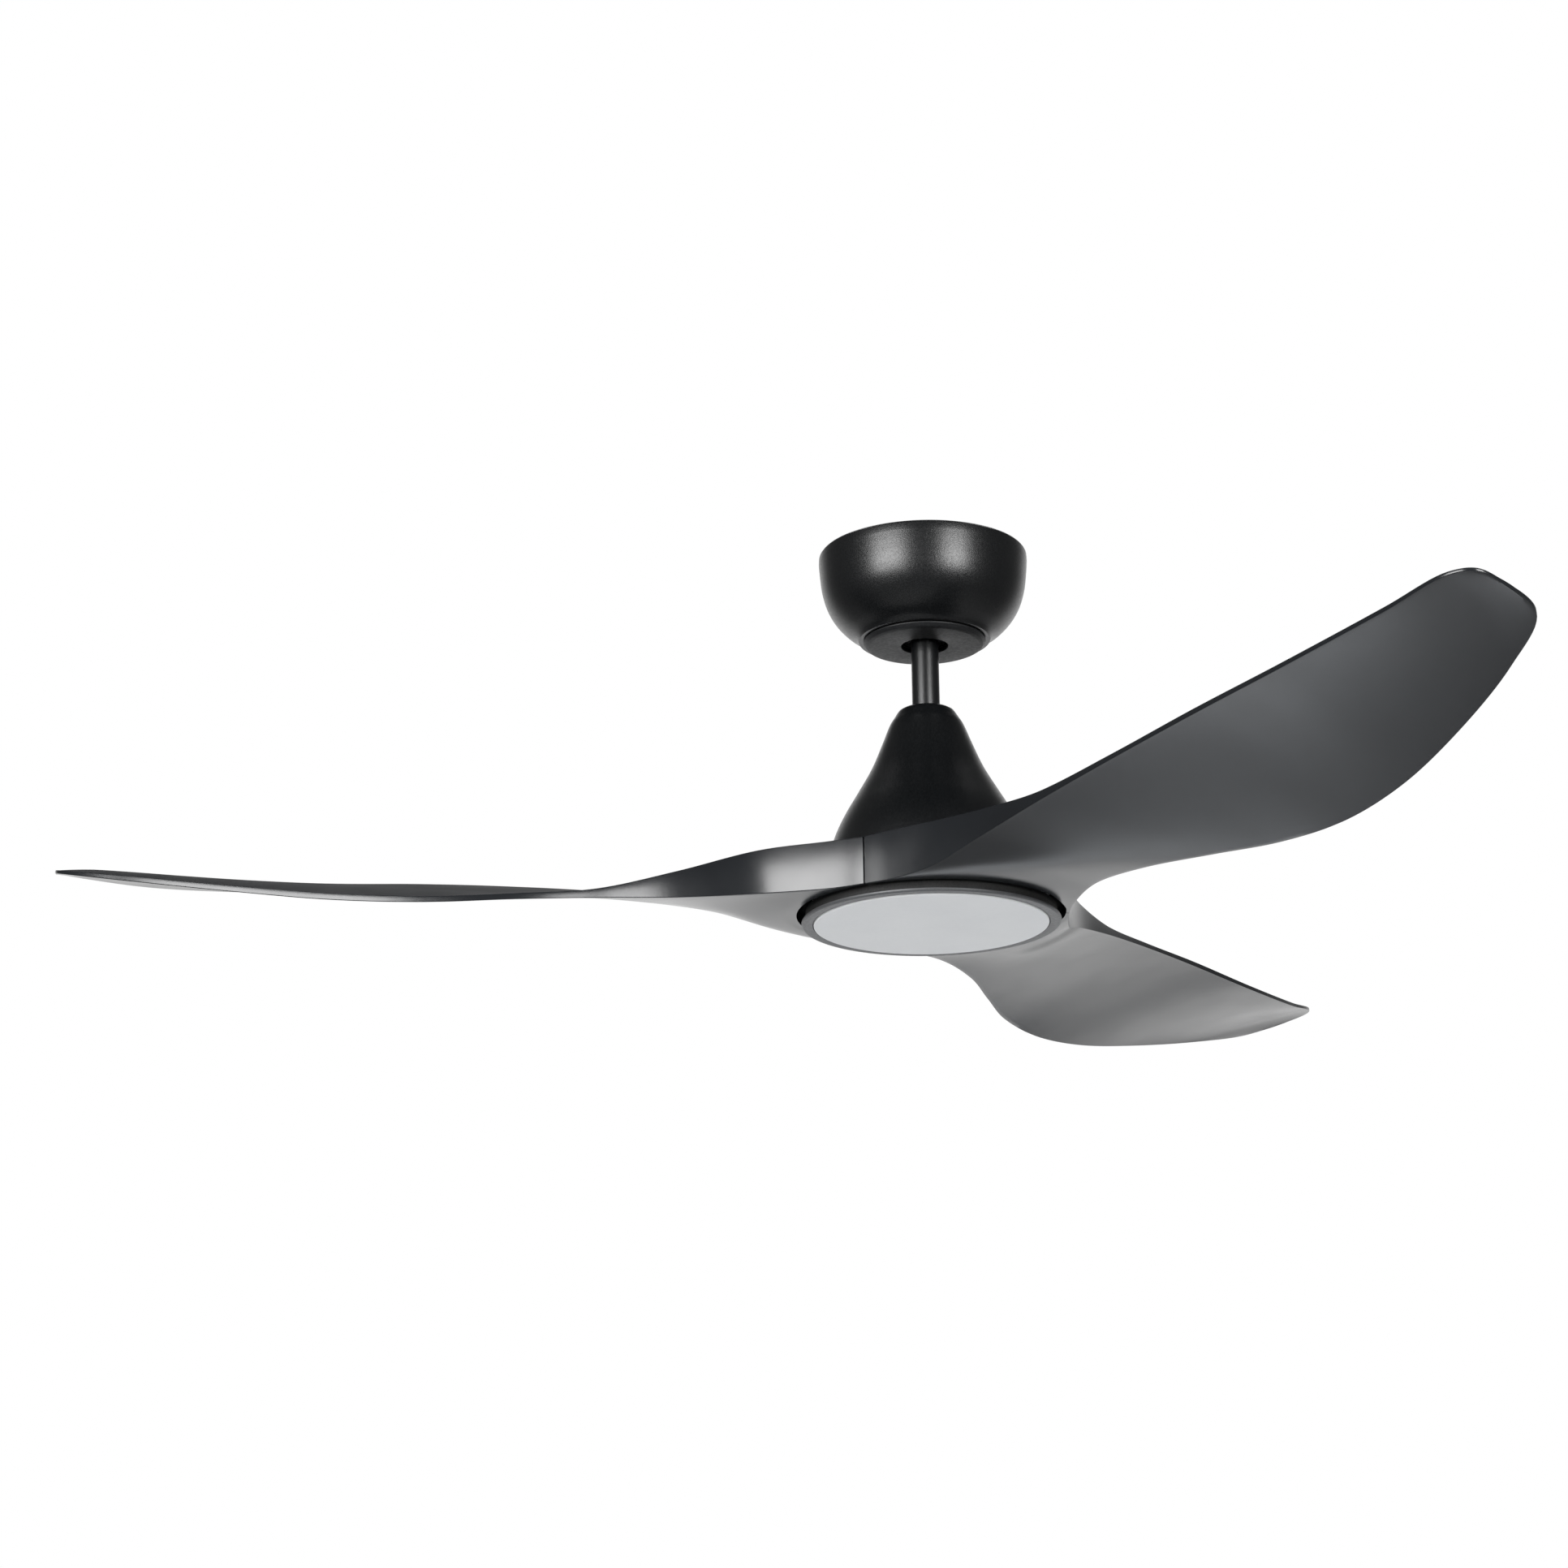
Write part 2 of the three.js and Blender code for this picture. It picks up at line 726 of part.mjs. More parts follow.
function rotorUpperShell() {
  const top = ROTOR_LID + ROTOR_PLATE;
  const lid = turned(
    [
      [BOSS_INNER, level(UPPER_BEARING)],
      [BOSS_OUTER, level(UPPER_BEARING)],
      [BOSS_OUTER, level(ROTOR_LID)],
      [CAN_RADIUS, level(ROTOR_LID)],
      [CAN_RADIUS, level(top - 1)],
      [CAN_RADIUS - 1, level(top)],
      [BOSS_OUTER, level(top)],
      [BOSS_INNER + 1, level(top + 2.4)],
      [BOSS_INNER, level(top + 2.4)],
    ],
    26,
  );
  const holes = ROTOR_SCREW_ANGLES.map((angle) => {
    const place = polar(ROTOR_SCREW_RADIUS, angle);
    return disc(2, level(ROTOR_LID - 1), level(top + 1), 8).translate(place.x, place.y, 0);
  });
  const vents = thrice(sector(28, 48, level(ROTOR_LID - 1), level(top + 1), 30, 90));
  return cut(lid, ...holes, ...vents);
}

// The ring of magnets, with a thick rim above it that the lid's screws go into.
const magnetRing = () =>
  cut(
    ring(TOOTH_TIP + 0.8, CAN_RADIUS - 3.2, level(33), level(ROTOR_LID - 0.6), 26),
    ...ROTOR_SCREW_ANGLES.map((angle) => {
      const place = polar(ROTOR_SCREW_RADIUS, angle);
      return disc(1.9, level(46), level(ROTOR_LID + 1), 8).translate(place.x, place.y, 0);
    }),
  );

function rotorScrew(angle) {
  const place = polar(ROTOR_SCREW_RADIUS, angle);
  return screwShape(1.6, 10, 3.2, 1.8)
    .rotateX(Math.PI)
    .translate(place.x, place.y, level(ROTOR_LID + ROTOR_PLATE + CLEARANCE));
}

// ---- Blades ----

function bladeCarrier() {
  const top = CARRIER_BOTTOM + CARRIER_THICKNESS;
  const plate = ring(CAN_RADIUS + 0.6, CARRIER_RADIUS, level(CARRIER_BOTTOM), level(top), 28);
  const through = (radius, place) =>
    disc(radius, level(CARRIER_BOTTOM - 1), level(top + 1), 8).translate(place.x, place.y, 0);
  const bladeHoles = bladeAngles.flatMap((blade) =>
    BLADE_SCREW_ANGLES.map((angle) => through(2.6, polar(BLADE_SCREW_RADIUS, blade + angle))),
  );
  const flangeHoles = CARRIER_SCREW_ANGLES.map((angle) => through(2.4, polar(CARRIER_SCREW_RADIUS, angle)));
  return cut(plate, ...bladeHoles, ...flangeHoles);
}

function carrierScrew(angle) {
  const place = polar(CARRIER_SCREW_RADIUS, angle);
  return screwShape(2, 5.8, 3.8, 2.2).translate(place.x, place.y, level(ROTOR_FLOOR - CLEARANCE));
}

function bladeScrew(angle) {
  const place = polar(BLADE_SCREW_RADIUS, angle);
  return screwShape(2.2, 9, 4.2, 2.4).translate(place.x, place.y, level(CARRIER_BOTTOM - CLEARANCE));
}

// The corner of a blade root on the seam, at a distance from the axis; side is -1 for the leading seam.
function seamPoint(radius, side) {
  const along = polar(radius, side * 60);
  const inwards = polar(SEAM_GAP / 2, side * -30);
  return [along.x + inwards.x, along.y + inwards.y, HUB_BOTTOM, HUB_HEIGHT];
}

const bladeAngles = Array.from({ length: BLADES }, (_, i) => FIRST_BLADE_ANGLE + (i * 360) / BLADES);

// A grid over the blade: each row runs from the leading edge to the trailing edge, and the rows go
// from inside the hub to the tip. The same grid is used for the underside and, lifted, for the top.
function bladeRows() {
  const outline = [
    seamPoint(HUB_RADIUS, -1),
    ...LEADING_EDGE,
    BLADE_TIP,
    ...[...TRAILING_EDGE].reverse(),
    seamPoint(HUB_RADIUS, 1),
  ];
  const lowerEdge = new THREE.CatmullRomCurve3(outline.map(([x, y, z]) => new THREE.Vector3(x, y, z)));
  const bandHeight = new THREE.CatmullRomCurve3(outline.map((point) => new THREE.Vector3(point[3], 0, 0)));
  bandHeight.curveType = "catmullrom";
  const rowShape = new THREE.CatmullRomCurve3(ROW_SHAPE.map((shape) => new THREE.Vector3(...shape)));
  rowShape.curveType = "catmullrom";

  const stations = LEADING_EDGE.length;
  const spans = outline.length - 1;
  const across = Array.from({ length: COLUMNS + 1 }, (_, i) => i / COLUMNS);
  const hubRow = (radius) => {
    const [start, end] = [seamPoint(radius, -1), seamPoint(radius, 1)];
    return across.map((v) => {
      const bow = (radius / 2) * 4 * v * (1 - v);
      const x = THREE.MathUtils.lerp(start[0], end[0], v) + bow;
      const y = THREE.MathUtils.lerp(start[1], end[1], v);
      return { x, y, low: HUB_BOTTOM, high: HUB_BOTTOM + HUB_HEIGHT };
    });
  };
  const rows = [hubRow(HUB_BORE - 18), hubRow(HUB_RADIUS - 14)];
  const last = stations * ROWS_PER_STATION;
  for (let i = 0; i <= last; i++) {
    const t = i / ROWS_PER_STATION / spans;
    const [start, end] = [lowerEdge.getPoint(t), lowerEdge.getPoint(1 - t)];
    const [startBand, endBand] = [bandHeight.getPoint(t).x, bandHeight.getPoint(1 - t).x];
    const shape = rowShape.getPoint(i / last);
    const outwards = new THREE.Vector2(end.y - start.y, start.x - end.x).normalize();
    rows.push(
      across.map((v) => {
        const hump = 4 * v * (1 - v);
        if (i === last) {
          const onEdge = t + v * (1 - 2 * t);
          const point = lowerEdge.getPoint(onEdge);
          return { x: point.x, y: point.y, low: point.z, high: point.z + bandHeight.getPoint(onEdge).x };
        }
        const point = start.clone().lerp(end, v);
        const band = THREE.MathUtils.lerp(startBand, endBand, v);
        return {
          x: point.x + outwards.x * shape.x * hump,
          y: point.y + outwards.y * shape.x * hump,
          low: point.z + shape.z * hump,
          high: point.z + band + shape.y * hump,
        };
      }),
    );
  }
  return rows;
}

// A closed skin over the rows: top, underside, both edges, the inner end and the tip.
function skinOver(rows) {
  const columns = rows[0].length;
  const positions = [];
  for (const side of ["low", "high"])
    for (const row of rows) for (const point of row) positions.push(point.x, point.y, level(point[side]));
  const low = (row, column) => row * columns + column;
  const high = (row, column) => rows.length * columns + low(row, column);
  const index = [];
  const quad = (a, b, c, d) => index.push(a, b, c, a, c, d);
  const [lastRow, lastColumn] = [rows.length - 1, columns - 1];
  for (let r = 0; r < lastRow; r++) {
    for (let c = 0; c < lastColumn; c++) {
      quad(high(r, c), high(r + 1, c), high(r + 1, c + 1), high(r, c + 1));
      quad(low(r, c), low(r, c + 1), low(r + 1, c + 1), low(r + 1, c));
    }
    quad(low(r, 0), low(r + 1, 0), high(r + 1, 0), high(r, 0));
    quad(low(r + 1, lastColumn), low(r, lastColumn), high(r, lastColumn), high(r + 1, lastColumn));
  }
  for (let c = 0; c < lastColumn; c++) {
    quad(low(0, c + 1), low(0, c), high(0, c), high(0, c + 1));
    quad(low(lastRow, c), low(lastRow, c + 1), high(lastRow, c + 1), high(lastRow, c));
  }
  return new THREE.BufferGeometry()
    .setAttribute("position", new THREE.Float32BufferAttribute(positions, 3))
    .setIndex(index);
}

function blade() {
  const plateBottom = HUB_BOTTOM + HUB_HEIGHT - HUB_TOP_PLATE;
  const motorRoom = turned(
    [
      [0, level(-20)],
      [HUB_CAVITY, level(-20)],
      [HUB_CAVITY, level(plateBottom)],
      [HUB_BORE, level(plateBottom)],
      [HUB_BORE, level(70)],
      [0, level(70)],
    ],
    36,
  );
  const bosses = BLADE_SCREW_ANGLES.map((angle) => {
    const place = polar(BLADE_SCREW_RADIUS, angle);
    const foot = level(CARRIER_BOTTOM + CARRIER_THICKNESS + CLEARANCE);
    return disc(6, foot, level(plateBottom + 1), 8).translate(place.x, place.y, 0);
  });
  const screwHoles = BLADE_SCREW_ANGLES.map((angle) => {
    const place = polar(BLADE_SCREW_RADIUS, angle);
    return disc(2.6, level(30), level(41), 8).translate(place.x, place.y, 0);
  });
  return cut(join(cut(skinOver(bladeRows()), motorRoom), ...bosses), ...screwHoles);
}

// ---- Light ----

const lightScrewHole = (angle, bottom, top) => {
  const place = polar(LIGHT_SCREW_RADIUS, angle);
  return disc(2.3, level(bottom), level(top), 8).translate(place.x, place.y, 0);
};

const lightMountPlate = () =>
  cut(
    ring(SHAFT_RADIUS + CLEARANCE, 52, level(MOUNT_PLATE), level(MOUNT_PLATE + 2), 24),
    ...LIGHT_SCREW_ANGLES.map((angle) => lightScrewHole(angle, MOUNT_PLATE - 1, MOUNT_PLATE + 3)),
  );

function lightHousing() {
  const pan = turned(
    [
      [14, level(PAN_FLOOR)],
      [HOUSING_RADIUS - 2.9, level(PAN_FLOOR)],
      [HOUSING_RADIUS - 2.9, level(6.6)],
      [HOUSING_RADIUS, level(6.6)],
      [HOUSING_RADIUS, level(PAN_FLOOR + 2)],
      [14, level(PAN_FLOOR + 2)],
    ],
    30,
  );
  const posts = LIGHT_SCREW_ANGLES.map((angle) => {
    const place = polar(LIGHT_SCREW_RADIUS, angle);
    return disc(5, level(PAN_FLOOR + 1), level(MOUNT_PLATE - CLEARANCE), 10).translate(place.x, place.y, 0);
  });
  const holes = LIGHT_SCREW_ANGLES.map((angle) => lightScrewHole(angle, PAN_FLOOR - 1, MOUNT_PLATE + 1));
  const headRooms = LIGHT_SCREW_ANGLES.map((angle) => {
    const place = polar(LIGHT_SCREW_RADIUS, angle);
    return disc(4, level(PAN_FLOOR - 1), level(PAN_FLOOR + 1.2), 8).translate(place.x, place.y, 0);
  });
  return cut(join(pan, ...posts), ...holes, ...headRooms);
}

function lightScrew(angle) {
  const place = polar(LIGHT_SCREW_RADIUS, angle);
  return screwShape(2, 8.6, 3.4, 1.1).translate(place.x, place.y, level(PAN_FLOOR + 1));
}

// The ring round the diffuser. Its lip holds the diffuser's lugs, and three notches let them through.
// Its wall stands back from the edge of the lip, so that a dark gap shows round it.
function lightBezel() {
  const bezel = turned(
    [
      [DIFFUSER_RADIUS + 0.5, level(1)],
      [BEZEL_RADIUS - 1.4, level(0.8)],
      [BEZEL_RADIUS - 0.3, level(1.4)],
      [BEZEL_RADIUS, level(2)],
      [BEZEL_RADIUS, level(3)],
      [BEZEL_WALL_RADIUS, level(3.6)],
      [BEZEL_WALL_RADIUS, level(12)],
      [HOUSING_RADIUS + 0.4, level(12)],
      [HOUSING_RADIUS + 0.4, level(3.4)],
      [DIFFUSER_RADIUS + 0.5, level(3.4)],
    ],
    40,
  );
  const [from, to] = [DIFFUSER_TWIST - 4.5, DIFFUSER_TWIST + 4.5];
  const notches = thrice(
    sector(DIFFUSER_RADIUS - 1, HOUSING_RADIUS, level(1.8), level(4), from, to),
  );
  return cut(bezel, ...notches);
}

function diffuser() {
  const lip = DIFFUSER_RADIUS - 1.2;
  const dish = turned(
    [
      [0, level(0)],
      [lip, level(0)],
      [DIFFUSER_RADIUS - 0.3, level(0.5)],
      [DIFFUSER_RADIUS, level(1.3)],
      [DIFFUSER_RADIUS, level(5.6)],
      [DIFFUSER_RADIUS - DIFFUSER_WALL, level(5.6)],
      [DIFFUSER_RADIUS - DIFFUSER_WALL, level(DIFFUSER_WALL + 0.4)],
      [0, level(DIFFUSER_WALL + 0.4)],
    ],
    40,
  );
  const lugReach = HOUSING_RADIUS - 0.6;
  const lugs = thrice(sector(DIFFUSER_RADIUS - 1, lugReach, level(3.8), level(5.6), -3.5, 3.5));
  return join(dish, ...lugs);
}

const ledHeatSink = () => ring(10, 80, level(8.8), level(PAN_FLOOR - CLEARANCE), 28);

function ledBoard() {
  const board = ring(10, 76, level(7.2), level(8.5), 28);
  const lamps = [];
  for (const [radius, count] of [
    [30, 5],
    [58, 9],
  ])
    for (let i = 0; i < count; i++) {
      const lamp = block([radius - 1.8, radius + 1.8], [-1.8, 1.8], [level(6.6), level(7.6)]);
      lamps.push(lamp.rotateZ((i * 2 * Math.PI) / count));
    }
  return join(board, ...lamps);
}

function ledDriver() {
  const foot = PAN_FLOOR + 2 + CLEARANCE;
  const box = block([58, 80], [-30, 30], [level(foot), level(22)]);
  const corners = [-1, 1].map((side) =>
    block([-3, 3], [-3, 3], [level(foot - 1), level(23)])
      .rotateZ(Math.PI / 4)
      .translate(80, side * 30, 0),
  );
  return cut(box, ...corners);
}

// ---- Assembly ----

const fan = new THREE.Group();

fan.add(
  node("ceiling_bracket", ceilingBracket(), ZINC),
  node("canopy", canopy(), BLACK_COAT),
  node("canopy_trim_ring", canopyTrimRing(), BLACK_COAT),
  node("receiver_box", receiverBox(), PLASTIC),
  node("terminal_block", terminalBlock(), PLASTIC),
);
CANOPY_SCREWS.forEach(([x, y], i) => {
  const shape = screwShape(2, 9, 4, 1.8).translate(x, y, level(CANOPY_FLOOR - CLEARANCE));
  fan.add(node(`canopy_screw_${i + 1}`, shape, ZINC));
});

const hanging = new THREE.Group();
hanging.add(
  node("hanger_ball", hangerBall(), BLACK_COAT),
  node("ball_cross_pin", crossPin(), ZINC),
  node("downrod", downrod(), BLACK_COAT),
  node("motor_cable", motorCable(), CABLE),
  node("motor_coupling", motorCoupling(), ZINC),
  node("coupling_pin", couplingPin(), ZINC),
  node("coupling_pin_clip", pinClip(), ZINC),
  node("coupling_set_screw_1", setScrew(1), DARK_STEEL),
  node("coupling_set_screw_2", setScrew(-1), DARK_STEEL),
  node("motor_cover", motorCover(), BLACK_COAT),
  node("cover_grommet", coverGrommet(), RUBBER),
  node("cover_plate", coverPlate(), ZINC),
  node("cover_plate_nut", nut(COVER_PLATE_HEIGHT + 2 + CLEARANCE, 5, 26), ZINC),
  node("motor_shaft", motorShaft(), DARK_STEEL),
  node("stator_core", statorCore(), DARK_STEEL),
  node("stator_windings", statorWindings(), COPPER),
  node("shaft_lock_nut", nut(MOUNT_PLATE + 2 + CLEARANCE, 3.8, 26), ZINC),
);
fan.add(hanging);

const rotor = new THREE.Group();
rotor.add(
  node("upper_bearing", bearing(UPPER_BEARING), DARK_STEEL),
  node("lower_bearing", bearing(LOWER_BEARING), DARK_STEEL),
  node("rotor_upper_shell", rotorUpperShell(), ALUMINIUM),
  node("rotor_lower_shell", rotorLowerShell(), ALUMINIUM),
  node("magnet_ring", magnetRing(), FERRITE),
  node("blade_carrier", bladeCarrier(), ZINC),
);
ROTOR_SCREW_ANGLES.forEach((angle, i) => {
  rotor.add(node(`rotor_screw_${i + 1}`, rotorScrew(angle), ZINC));
});
CARRIER_SCREW_ANGLES.forEach((angle, i) => {
  rotor.add(node(`carrier_screw_${i + 1}`, carrierScrew(angle), ZINC));
});
const bladeShape = blade();
bladeAngles.forEach((bladeAngle, i) => {
  const placed = node(`blade_${i + 1}`, bladeShape, BLACK_BLADE);
  placed.rotation.z = radians(bladeAngle);
  rotor.add(placed);
  BLADE_SCREW_ANGLES.forEach((angle, j) => {
    rotor.add(node(`blade_${i + 1}_screw_${j + 1}`, bladeScrew(bladeAngle + angle), ZINC));
  });
});
fan.add(rotor);

const light = new THREE.Group();
light.add(
  node("light_mount_plate", lightMountPlate(), ZINC),
  node("light_nut", nut(MOUNT_PLATE - CLEARANCE - 3, 3, 24), ZINC),
  node("light_housing", lightHousing(), GREY_BEZEL),
  node("light_bezel", lightBezel(), GREY_BEZEL),
  node("led_driver", ledDriver(), PLASTIC),
  node("led_heat_sink", ledHeatSink(), ALUMINIUM),
  node("led_board", ledBoard(), BOARD),
  node("diffuser", diffuser(), OPAL),
);
LIGHT_SCREW_ANGLES.forEach((angle, i) => {
  light.add(node(`light_screw_${i + 1}`, lightScrew(angle), ZINC));
});
fan.add(light);

export default fan;
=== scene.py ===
"""Looks of the ceiling fan with light, in metres, +Z up, with the ceiling plane at z = 0."""

import json
import math

import bmesh
import bpy
import numpy as np
from mathutils import Matrix, Vector


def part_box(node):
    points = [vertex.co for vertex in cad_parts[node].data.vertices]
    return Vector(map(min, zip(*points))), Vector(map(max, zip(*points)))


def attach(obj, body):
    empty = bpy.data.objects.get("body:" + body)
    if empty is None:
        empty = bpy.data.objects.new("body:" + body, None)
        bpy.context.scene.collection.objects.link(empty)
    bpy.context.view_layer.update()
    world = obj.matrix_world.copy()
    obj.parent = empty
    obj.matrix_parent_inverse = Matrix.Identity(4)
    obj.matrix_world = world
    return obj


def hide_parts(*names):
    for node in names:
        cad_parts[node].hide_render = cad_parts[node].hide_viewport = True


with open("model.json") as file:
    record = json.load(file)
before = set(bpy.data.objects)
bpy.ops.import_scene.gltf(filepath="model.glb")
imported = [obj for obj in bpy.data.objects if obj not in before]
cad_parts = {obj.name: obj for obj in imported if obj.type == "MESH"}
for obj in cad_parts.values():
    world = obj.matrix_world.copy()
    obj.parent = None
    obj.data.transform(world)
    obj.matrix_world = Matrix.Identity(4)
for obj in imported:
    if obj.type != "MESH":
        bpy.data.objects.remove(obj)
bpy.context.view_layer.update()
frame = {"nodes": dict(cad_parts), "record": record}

# ---- Camera ----

EYE = Vector((0, -2.4218, -0.9241))
PITCH = 0.2982  # radians above level
TURN = -0.0444  # to the left of +Y
ROLL = -0.0113
FOCAL_LENGTH = 77.85  # on a sensor 36 wide


def add_camera():
    ahead = Vector(
        (math.sin(TURN) * math.cos(PITCH), math.cos(TURN) * math.cos(PITCH), math.sin(PITCH))
    )
    level = Vector((math.cos(TURN), -math.sin(TURN), 0))
    upright = level.cross(ahead)
    right = math.cos(ROLL) * level + math.sin(ROLL) * upright
    up = math.cos(ROLL) * upright - math.sin(ROLL) * level
    data = bpy.data.cameras.new("camera")
    data.sensor_width = 36
    data.lens = FOCAL_LENGTH
    camera = bpy.data.objects.new("camera", data)
    camera.matrix_world = Matrix.Translation(EYE) @ Matrix((right, up, -ahead)).transposed().to_4x4()
    bpy.context.scene.collection.objects.link(camera)
    bpy.context.scene.camera = camera


add_camera()

# ---- Materials ----


class Finish:
    """A material whose nodes are added one by one round a Principled shader."""

    def __init__(self, name, **shader_values):
        self.material = bpy.data.materials.new(name)
        self.material.use_nodes = True
        self.tree = self.material.node_tree
        self.shader = self.tree.nodes["Principled BSDF"]
        for socket, value in shader_values.items():
            self.shader.inputs[socket.replace("_", " ")].default_value = value
        self.place = self.node("ShaderNodeTexCoord").outputs["Object"]
        self.normal = None

    def node(self, kind, **values):
        made = self.tree.nodes.new(kind)
        for key, value in values.items():
            if key in made.inputs:
                made.inputs[key].default_value = value
            else:
                setattr(made, key, value)
        return made

    def link(self, start, end):
        self.tree.links.new(start, end)

    def stretched(self, scale):
        """The object's coordinates, scaled differently along each axis."""
        mapping = self.node("ShaderNodeMapping", Scale=scale)
        self.link(self.place, mapping.inputs["Vector"])
        return mapping.outputs["Vector"]

    def noise(self, scale, detail=2.0, rough=0.5, place=None):
        made = self.node("ShaderNodeTexNoise", Scale=scale, Detail=detail, Roughness=rough)
        self.link(place or self.place, made.inputs["Vector"])
        return made.outputs["Fac"]

    def spread(self, value, low, high, start=0.3, end=0.7):
        """Turns a noise value into numbers from low to high."""
        made = self.node("ShaderNodeMapRange")
        made.inputs["From Min"].default_value = start
        made.inputs["From Max"].default_value = end
        made.inputs["To Min"].default_value = low
        made.inputs["To Max"].default_value = high
        self.link(value, made.inputs["Value"])
        return made.outputs["Result"]

    def colour(self, value, first, second, start=0.3, end=0.7):
        ramp = self.node("ShaderNodeValToRGB")
        ramp.color_ramp.elements[0].position = start
        ramp.color_ramp.elements[1].position = end
        ramp.color_ramp.elements[0].color = (*first, 1)
        ramp.color_ramp.elements[1].color = (*second, 1)
        self.link(value, ramp.inputs["Fac"])
        self.link(ramp.outputs["Color"], self.shader.inputs["Base Color"])

    def roughness(self, value, low, high):
        self.link(self.spread(value, low, high), self.shader.inputs["Roughness"])

    def bump(self, value, strength, depth):
        made = self.node("ShaderNodeBump", Strength=strength, Distance=depth)
        self.link(value, made.inputs["Height"])
        if self.normal:
            self.link(self.normal, made.inputs["Normal"])
        self.normal = made.outputs["Normal"]
        self.link(self.normal, self.shader.inputs["Normal"])


def black_coat():
    """Satin black powder coat: a fine grain that breaks up the highlights."""
    finish = Finish("black_coat", Metallic=0.0, Specular_IOR_Level=0.5)
    grain = finish.noise(1100, 1)
    finish.colour(grain, (0.0020, 0.0023, 0.0026), (0.0042, 0.0048, 0.0054))
    finish.roughness(finish.noise(700, 1), 0.28, 0.36)
    finish.bump(grain, 0.35, 0.0002)
    finish.bump(finish.noise(60, 2), 0.05, 0.0005)
    return finish.material


def trim_plastic():
    """The moulded disc under the canopy: duller than the coated metal."""
    finish = Finish("trim_plastic", Metallic=0.0, Specular_IOR_Level=0.3)
    grain = finish.noise(900, 1)
    finish.colour(grain, (0.006, 0.0064, 0.007), (0.012, 0.0127, 0.014))
    finish.roughness(finish.noise(500, 1), 0.44, 0.54)
    finish.bump(grain, 0.15, 0.0002)
    return finish.material


def blade_finish():
    """Satin lacquer over smooth mouldings: faint orange peel and a soft cloudiness."""
    finish = Finish("blade_finish", Metallic=0.0, Specular_IOR_Level=0.5)
    finish.colour(finish.noise(9, 3), (0.0075, 0.0085, 0.0100), (0.0100, 0.0113, 0.0132))
    finish.roughness(finish.noise(25, 4), 0.20, 0.26)
    finish.bump(finish.noise(260, 1), 0.05, 0.0003)
    finish.bump(finish.noise(1800, 0), 0.04, 0.0001)
    return finish.material


def lightened_blade_top():
    """The upper side of a blade: a slightly lighter black than the underside, which is painted light,
    and matt, so that low light doesn't glare.
    """
    finish = Finish("lightened_blade_top", Metallic=0.0, Specular_IOR_Level=0.12)
    finish.colour(finish.noise(9, 3), (0.0095, 0.0105, 0.0120), (0.0125, 0.0138, 0.0158))
    finish.roughness(finish.noise(25, 4), 0.62, 0.70)
    finish.bump(finish.noise(900, 1), 0.04, 0.0002)
    return finish.material


def grey_bezel():
    finish = Finish("grey_bezel", Metallic=0.3, Specular_IOR_Level=0.5)
    grain = finish.noise(1500, 1)
    finish.colour(grain, (0.075, 0.077, 0.080), (0.105, 0.107, 0.111))
    finish.roughness(finish.noise(400, 2), 0.38, 0.5)
    finish.bump(grain, 0.12, 0.0002)
    return finish.material


def opal():
    """Frosted acrylic: light goes a little way in, and the surface is finely matt."""
    finish = Finish(
        "opal",
        Subsurface_Weight=0.25,
        Subsurface_Scale=0.004,
        Subsurface_Radius=(1.0, 1.0, 0.95),
        Specular_IOR_Level=0.45,
    )
    finish.colour(finish.noise(14, 2), (0.71, 0.715, 0.715), (0.75, 0.755, 0.752))
    finish.roughness(finish.noise(300, 2), 0.42, 0.52)
    finish.bump(finish.noise(1400, 1), 0.06, 0.0002)
    return finish.material


def metal(name, first, second, rough, brushed=None, pitting=0.1):
    """Bare or plated metal; brushed stretches the grain along one axis."""
    finish = Finish(name, Metallic=1.0)
    place = finish.stretched(brushed) if brushed else finish.place
    grain = finish.noise(500, 3, place=place)
    finish.colour(finish.noise(30, 4, 0.6), first, second)
    finish.roughness(grain, *rough)
    finish.bump(grain, pitting, 0.0002)
    return finish.material


def moulded(name, first, second, rough, grain_scale=900, grain_depth=0.15):
    """Plain moulded plastic, rubber or ferrite with a fine matt grain."""
    finish = Finish(name, Metallic=0.0, Specular_IOR_Level=0.45)
    grain = finish.noise(grain_scale, 1)
    finish.colour(finish.noise(40, 3), first, second)
    finish.roughness(grain, *rough)
    finish.bump(grain, grain_depth, 0.0002)
    return finish.material


def copper_wire():
    """Enamelled wire: fine parallel turns round each tooth."""
    finish = Finish("copper_wire", Metallic=1.0, Coat_Weight=0.6, Coat_Roughness=0.15)
    turns = finish.node("ShaderNodeTexWave", Scale=260, Distortion=0.6, bands_direction="Z")
    finish.link(finish.place, turns.inputs["Vector"])
    finish.colour(turns.outputs["Fac"], (0.32, 0.12, 0.05), (0.62, 0.28, 0.13), 0.1, 0.8)
    finish.roughness(finish.noise(300, 2), 0.22, 0.38)
    finish.bump(turns.outputs["Fac"], 0.6, 0.0006)
    return finish.material


